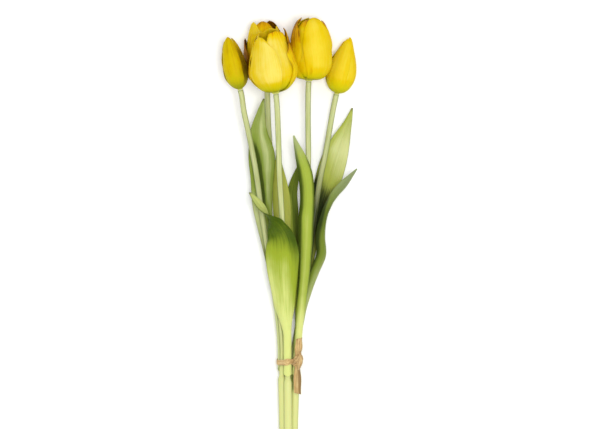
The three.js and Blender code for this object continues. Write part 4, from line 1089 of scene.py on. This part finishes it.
# Leaves: the colours of painted shade, of the middle and of painted light on the outer face, and the inner
# face's middle colour; the veins move between them too.
LEAF_LOOKS = {
    "leaf_of_left_bud": ((0.04, 0.062, 0.001), (0.22, 0.28, 0.05), (0.50, 0.55, 0.24), (0.215, 0.285, 0.038)),
    "leaf_of_back_bloom": ((0.09, 0.15, 0.006), (0.22, 0.30, 0.05), (0.54, 0.56, 0.14), (0.42, 0.45, 0.065)),
    "leaf_of_front_bloom": ((0.045, 0.083, 0.0), (0.27, 0.345, 0.02), (0.62, 0.67, 0.215),
                            (0.34, 0.39, 0.10)),
    "front_leaf_of_right_bloom": ((0.045, 0.075, 0.0), (0.31, 0.39, 0.042), (0.66, 0.70, 0.235),
                                  (0.22, 0.28, 0.04)),
    # painted shade: the whole leaf is coloured dark, as it lies in shade behind the others
    "back_leaf_of_right_bloom": ((0.02, 0.03, 0.001), (0.10, 0.14, 0.02), (0.36, 0.42, 0.05),
                                 (0.115, 0.16, 0.014)),
    "inner_leaf_of_right_bud": ((0.012, 0.022, 0.0), (0.25, 0.30, 0.04), (0.58, 0.61, 0.26),
                                (0.36, 0.41, 0.065)),
    # its inner face is coloured dark as painted shade in the gap beside it
    "outer_leaf_of_right_bud": ((0.02, 0.035, 0.0), (0.15, 0.205, 0.018), (0.38, 0.43, 0.16),
                                (0.10, 0.13, 0.01)),
}
# A leaf tip's colour, and where along the leaf it starts.
TIP_LOOK = ((0.10, 0.10, 0.04), 0.965)
GREY_TIPS = {"front_leaf_of_right_bloom": ((0.33, 0.38, 0.19), 0.78),
             "outer_leaf_of_right_bud": ((0.24, 0.285, 0.14), 0.72)}


def build_bunch():
    core, raffia, stamens = core_material(), raffia_material(), stamen_material()
    petals = {name: petal_material("petals_" + name, *look) for name, look in PETAL_LOOKS.items()}
    for name in HEADS:
        head = build_bloom(name, petals[name], core)
        build_pistil(name, head, stamens)
    for name in BUDS:
        build_bud(name, petals[name + "_bud"], core)
    for name in STEMS:
        build_stem(name, stem_material(f"stem_{name}_skin", *STEM_COLOURS))
    for i, (name, colours) in enumerate(LEAF_LOOKS.items()):
        tip = GREY_TIPS.get(name, TIP_LOOK)
        build_leaf(name, leaf_material(name + "_skin", *colours, 2.0 + 3 * i, *tip))
    build_tie(raffia)


# ---- floor, light and camera
FLOOR_SIZE = 6.0
VIEW_CENTRE = np.array([11.0, 28.5, 20.0])  # the middle of the picture, drawing mm
VIEW_WIDTH = 0.6  # what the picture spans, metres
CAMERA_DISTANCE = 20.0
SENSOR_WIDTH = 36.0
KEY_PLACE, KEY_TARGET = (0.2, 0.05, 2.5), (0.0, 0.03, 0.03)
KEY_SIZE = 0.9  # metres across
KEY_POWER = 38  # watts
ROOM_STRENGTH = 0.83


def build_floor():
    half = FLOOR_SIZE / 2
    mesh = bpy.data.meshes.new("floor")
    corners = [(-half, -half, 0), (half, -half, 0), (half, half, 0), (-half, half, 0)]
    mesh.from_pydata(corners, [], [(0, 1, 2, 3)])
    floor = bpy.data.objects.new("floor", mesh)
    bpy.context.scene.collection.objects.link(floor)
    m = Shader("floor_paper", roughness=0.9, Specular_IOR_Level=0.1)
    grain = m.noise(m.place(), 0.4, 2.0)
    mesh.materials.append(m.finish(m.mix(grain, (0.93, 0.93, 0.93), (0.96, 0.96, 0.96)), grain, 0.02))


def build_stage():
    scene = bpy.context.scene
    build_floor()
    data = bpy.data.lights.new("key", "AREA")
    data.shape = "DISK"
    data.size = KEY_SIZE
    data.energy = KEY_POWER
    light = bpy.data.objects.new("key", data)
    light.location = KEY_PLACE
    direction = Vector(KEY_TARGET) - Vector(KEY_PLACE)
    light.rotation_euler = direction.to_track_quat("-Z", "Y").to_euler()
    scene.collection.objects.link(light)
    world = bpy.data.worlds.new("soft_room")
    world.use_nodes = True
    background = world.node_tree.nodes["Background"].inputs
    background["Color"].default_value = (1, 1, 1, 1)
    background["Strength"].default_value = ROOM_STRENGTH
    scene.world = world
    scene.view_settings.view_transform = "Standard"
    data = bpy.data.cameras.new("camera")
    data.sensor_width = SENSOR_WIDTH
    data.lens = SENSOR_WIDTH * CAMERA_DISTANCE / VIEW_WIDTH
    camera = bpy.data.objects.new("camera", data)
    centre = (VIEW_CENTRE + ROW_SHIFT) * MM
    camera.location = (centre[0], centre[1], centre[2] + CAMERA_DISTANCE)
    scene.collection.objects.link(camera)
    scene.camera = camera


build_stage()
build_bunch()
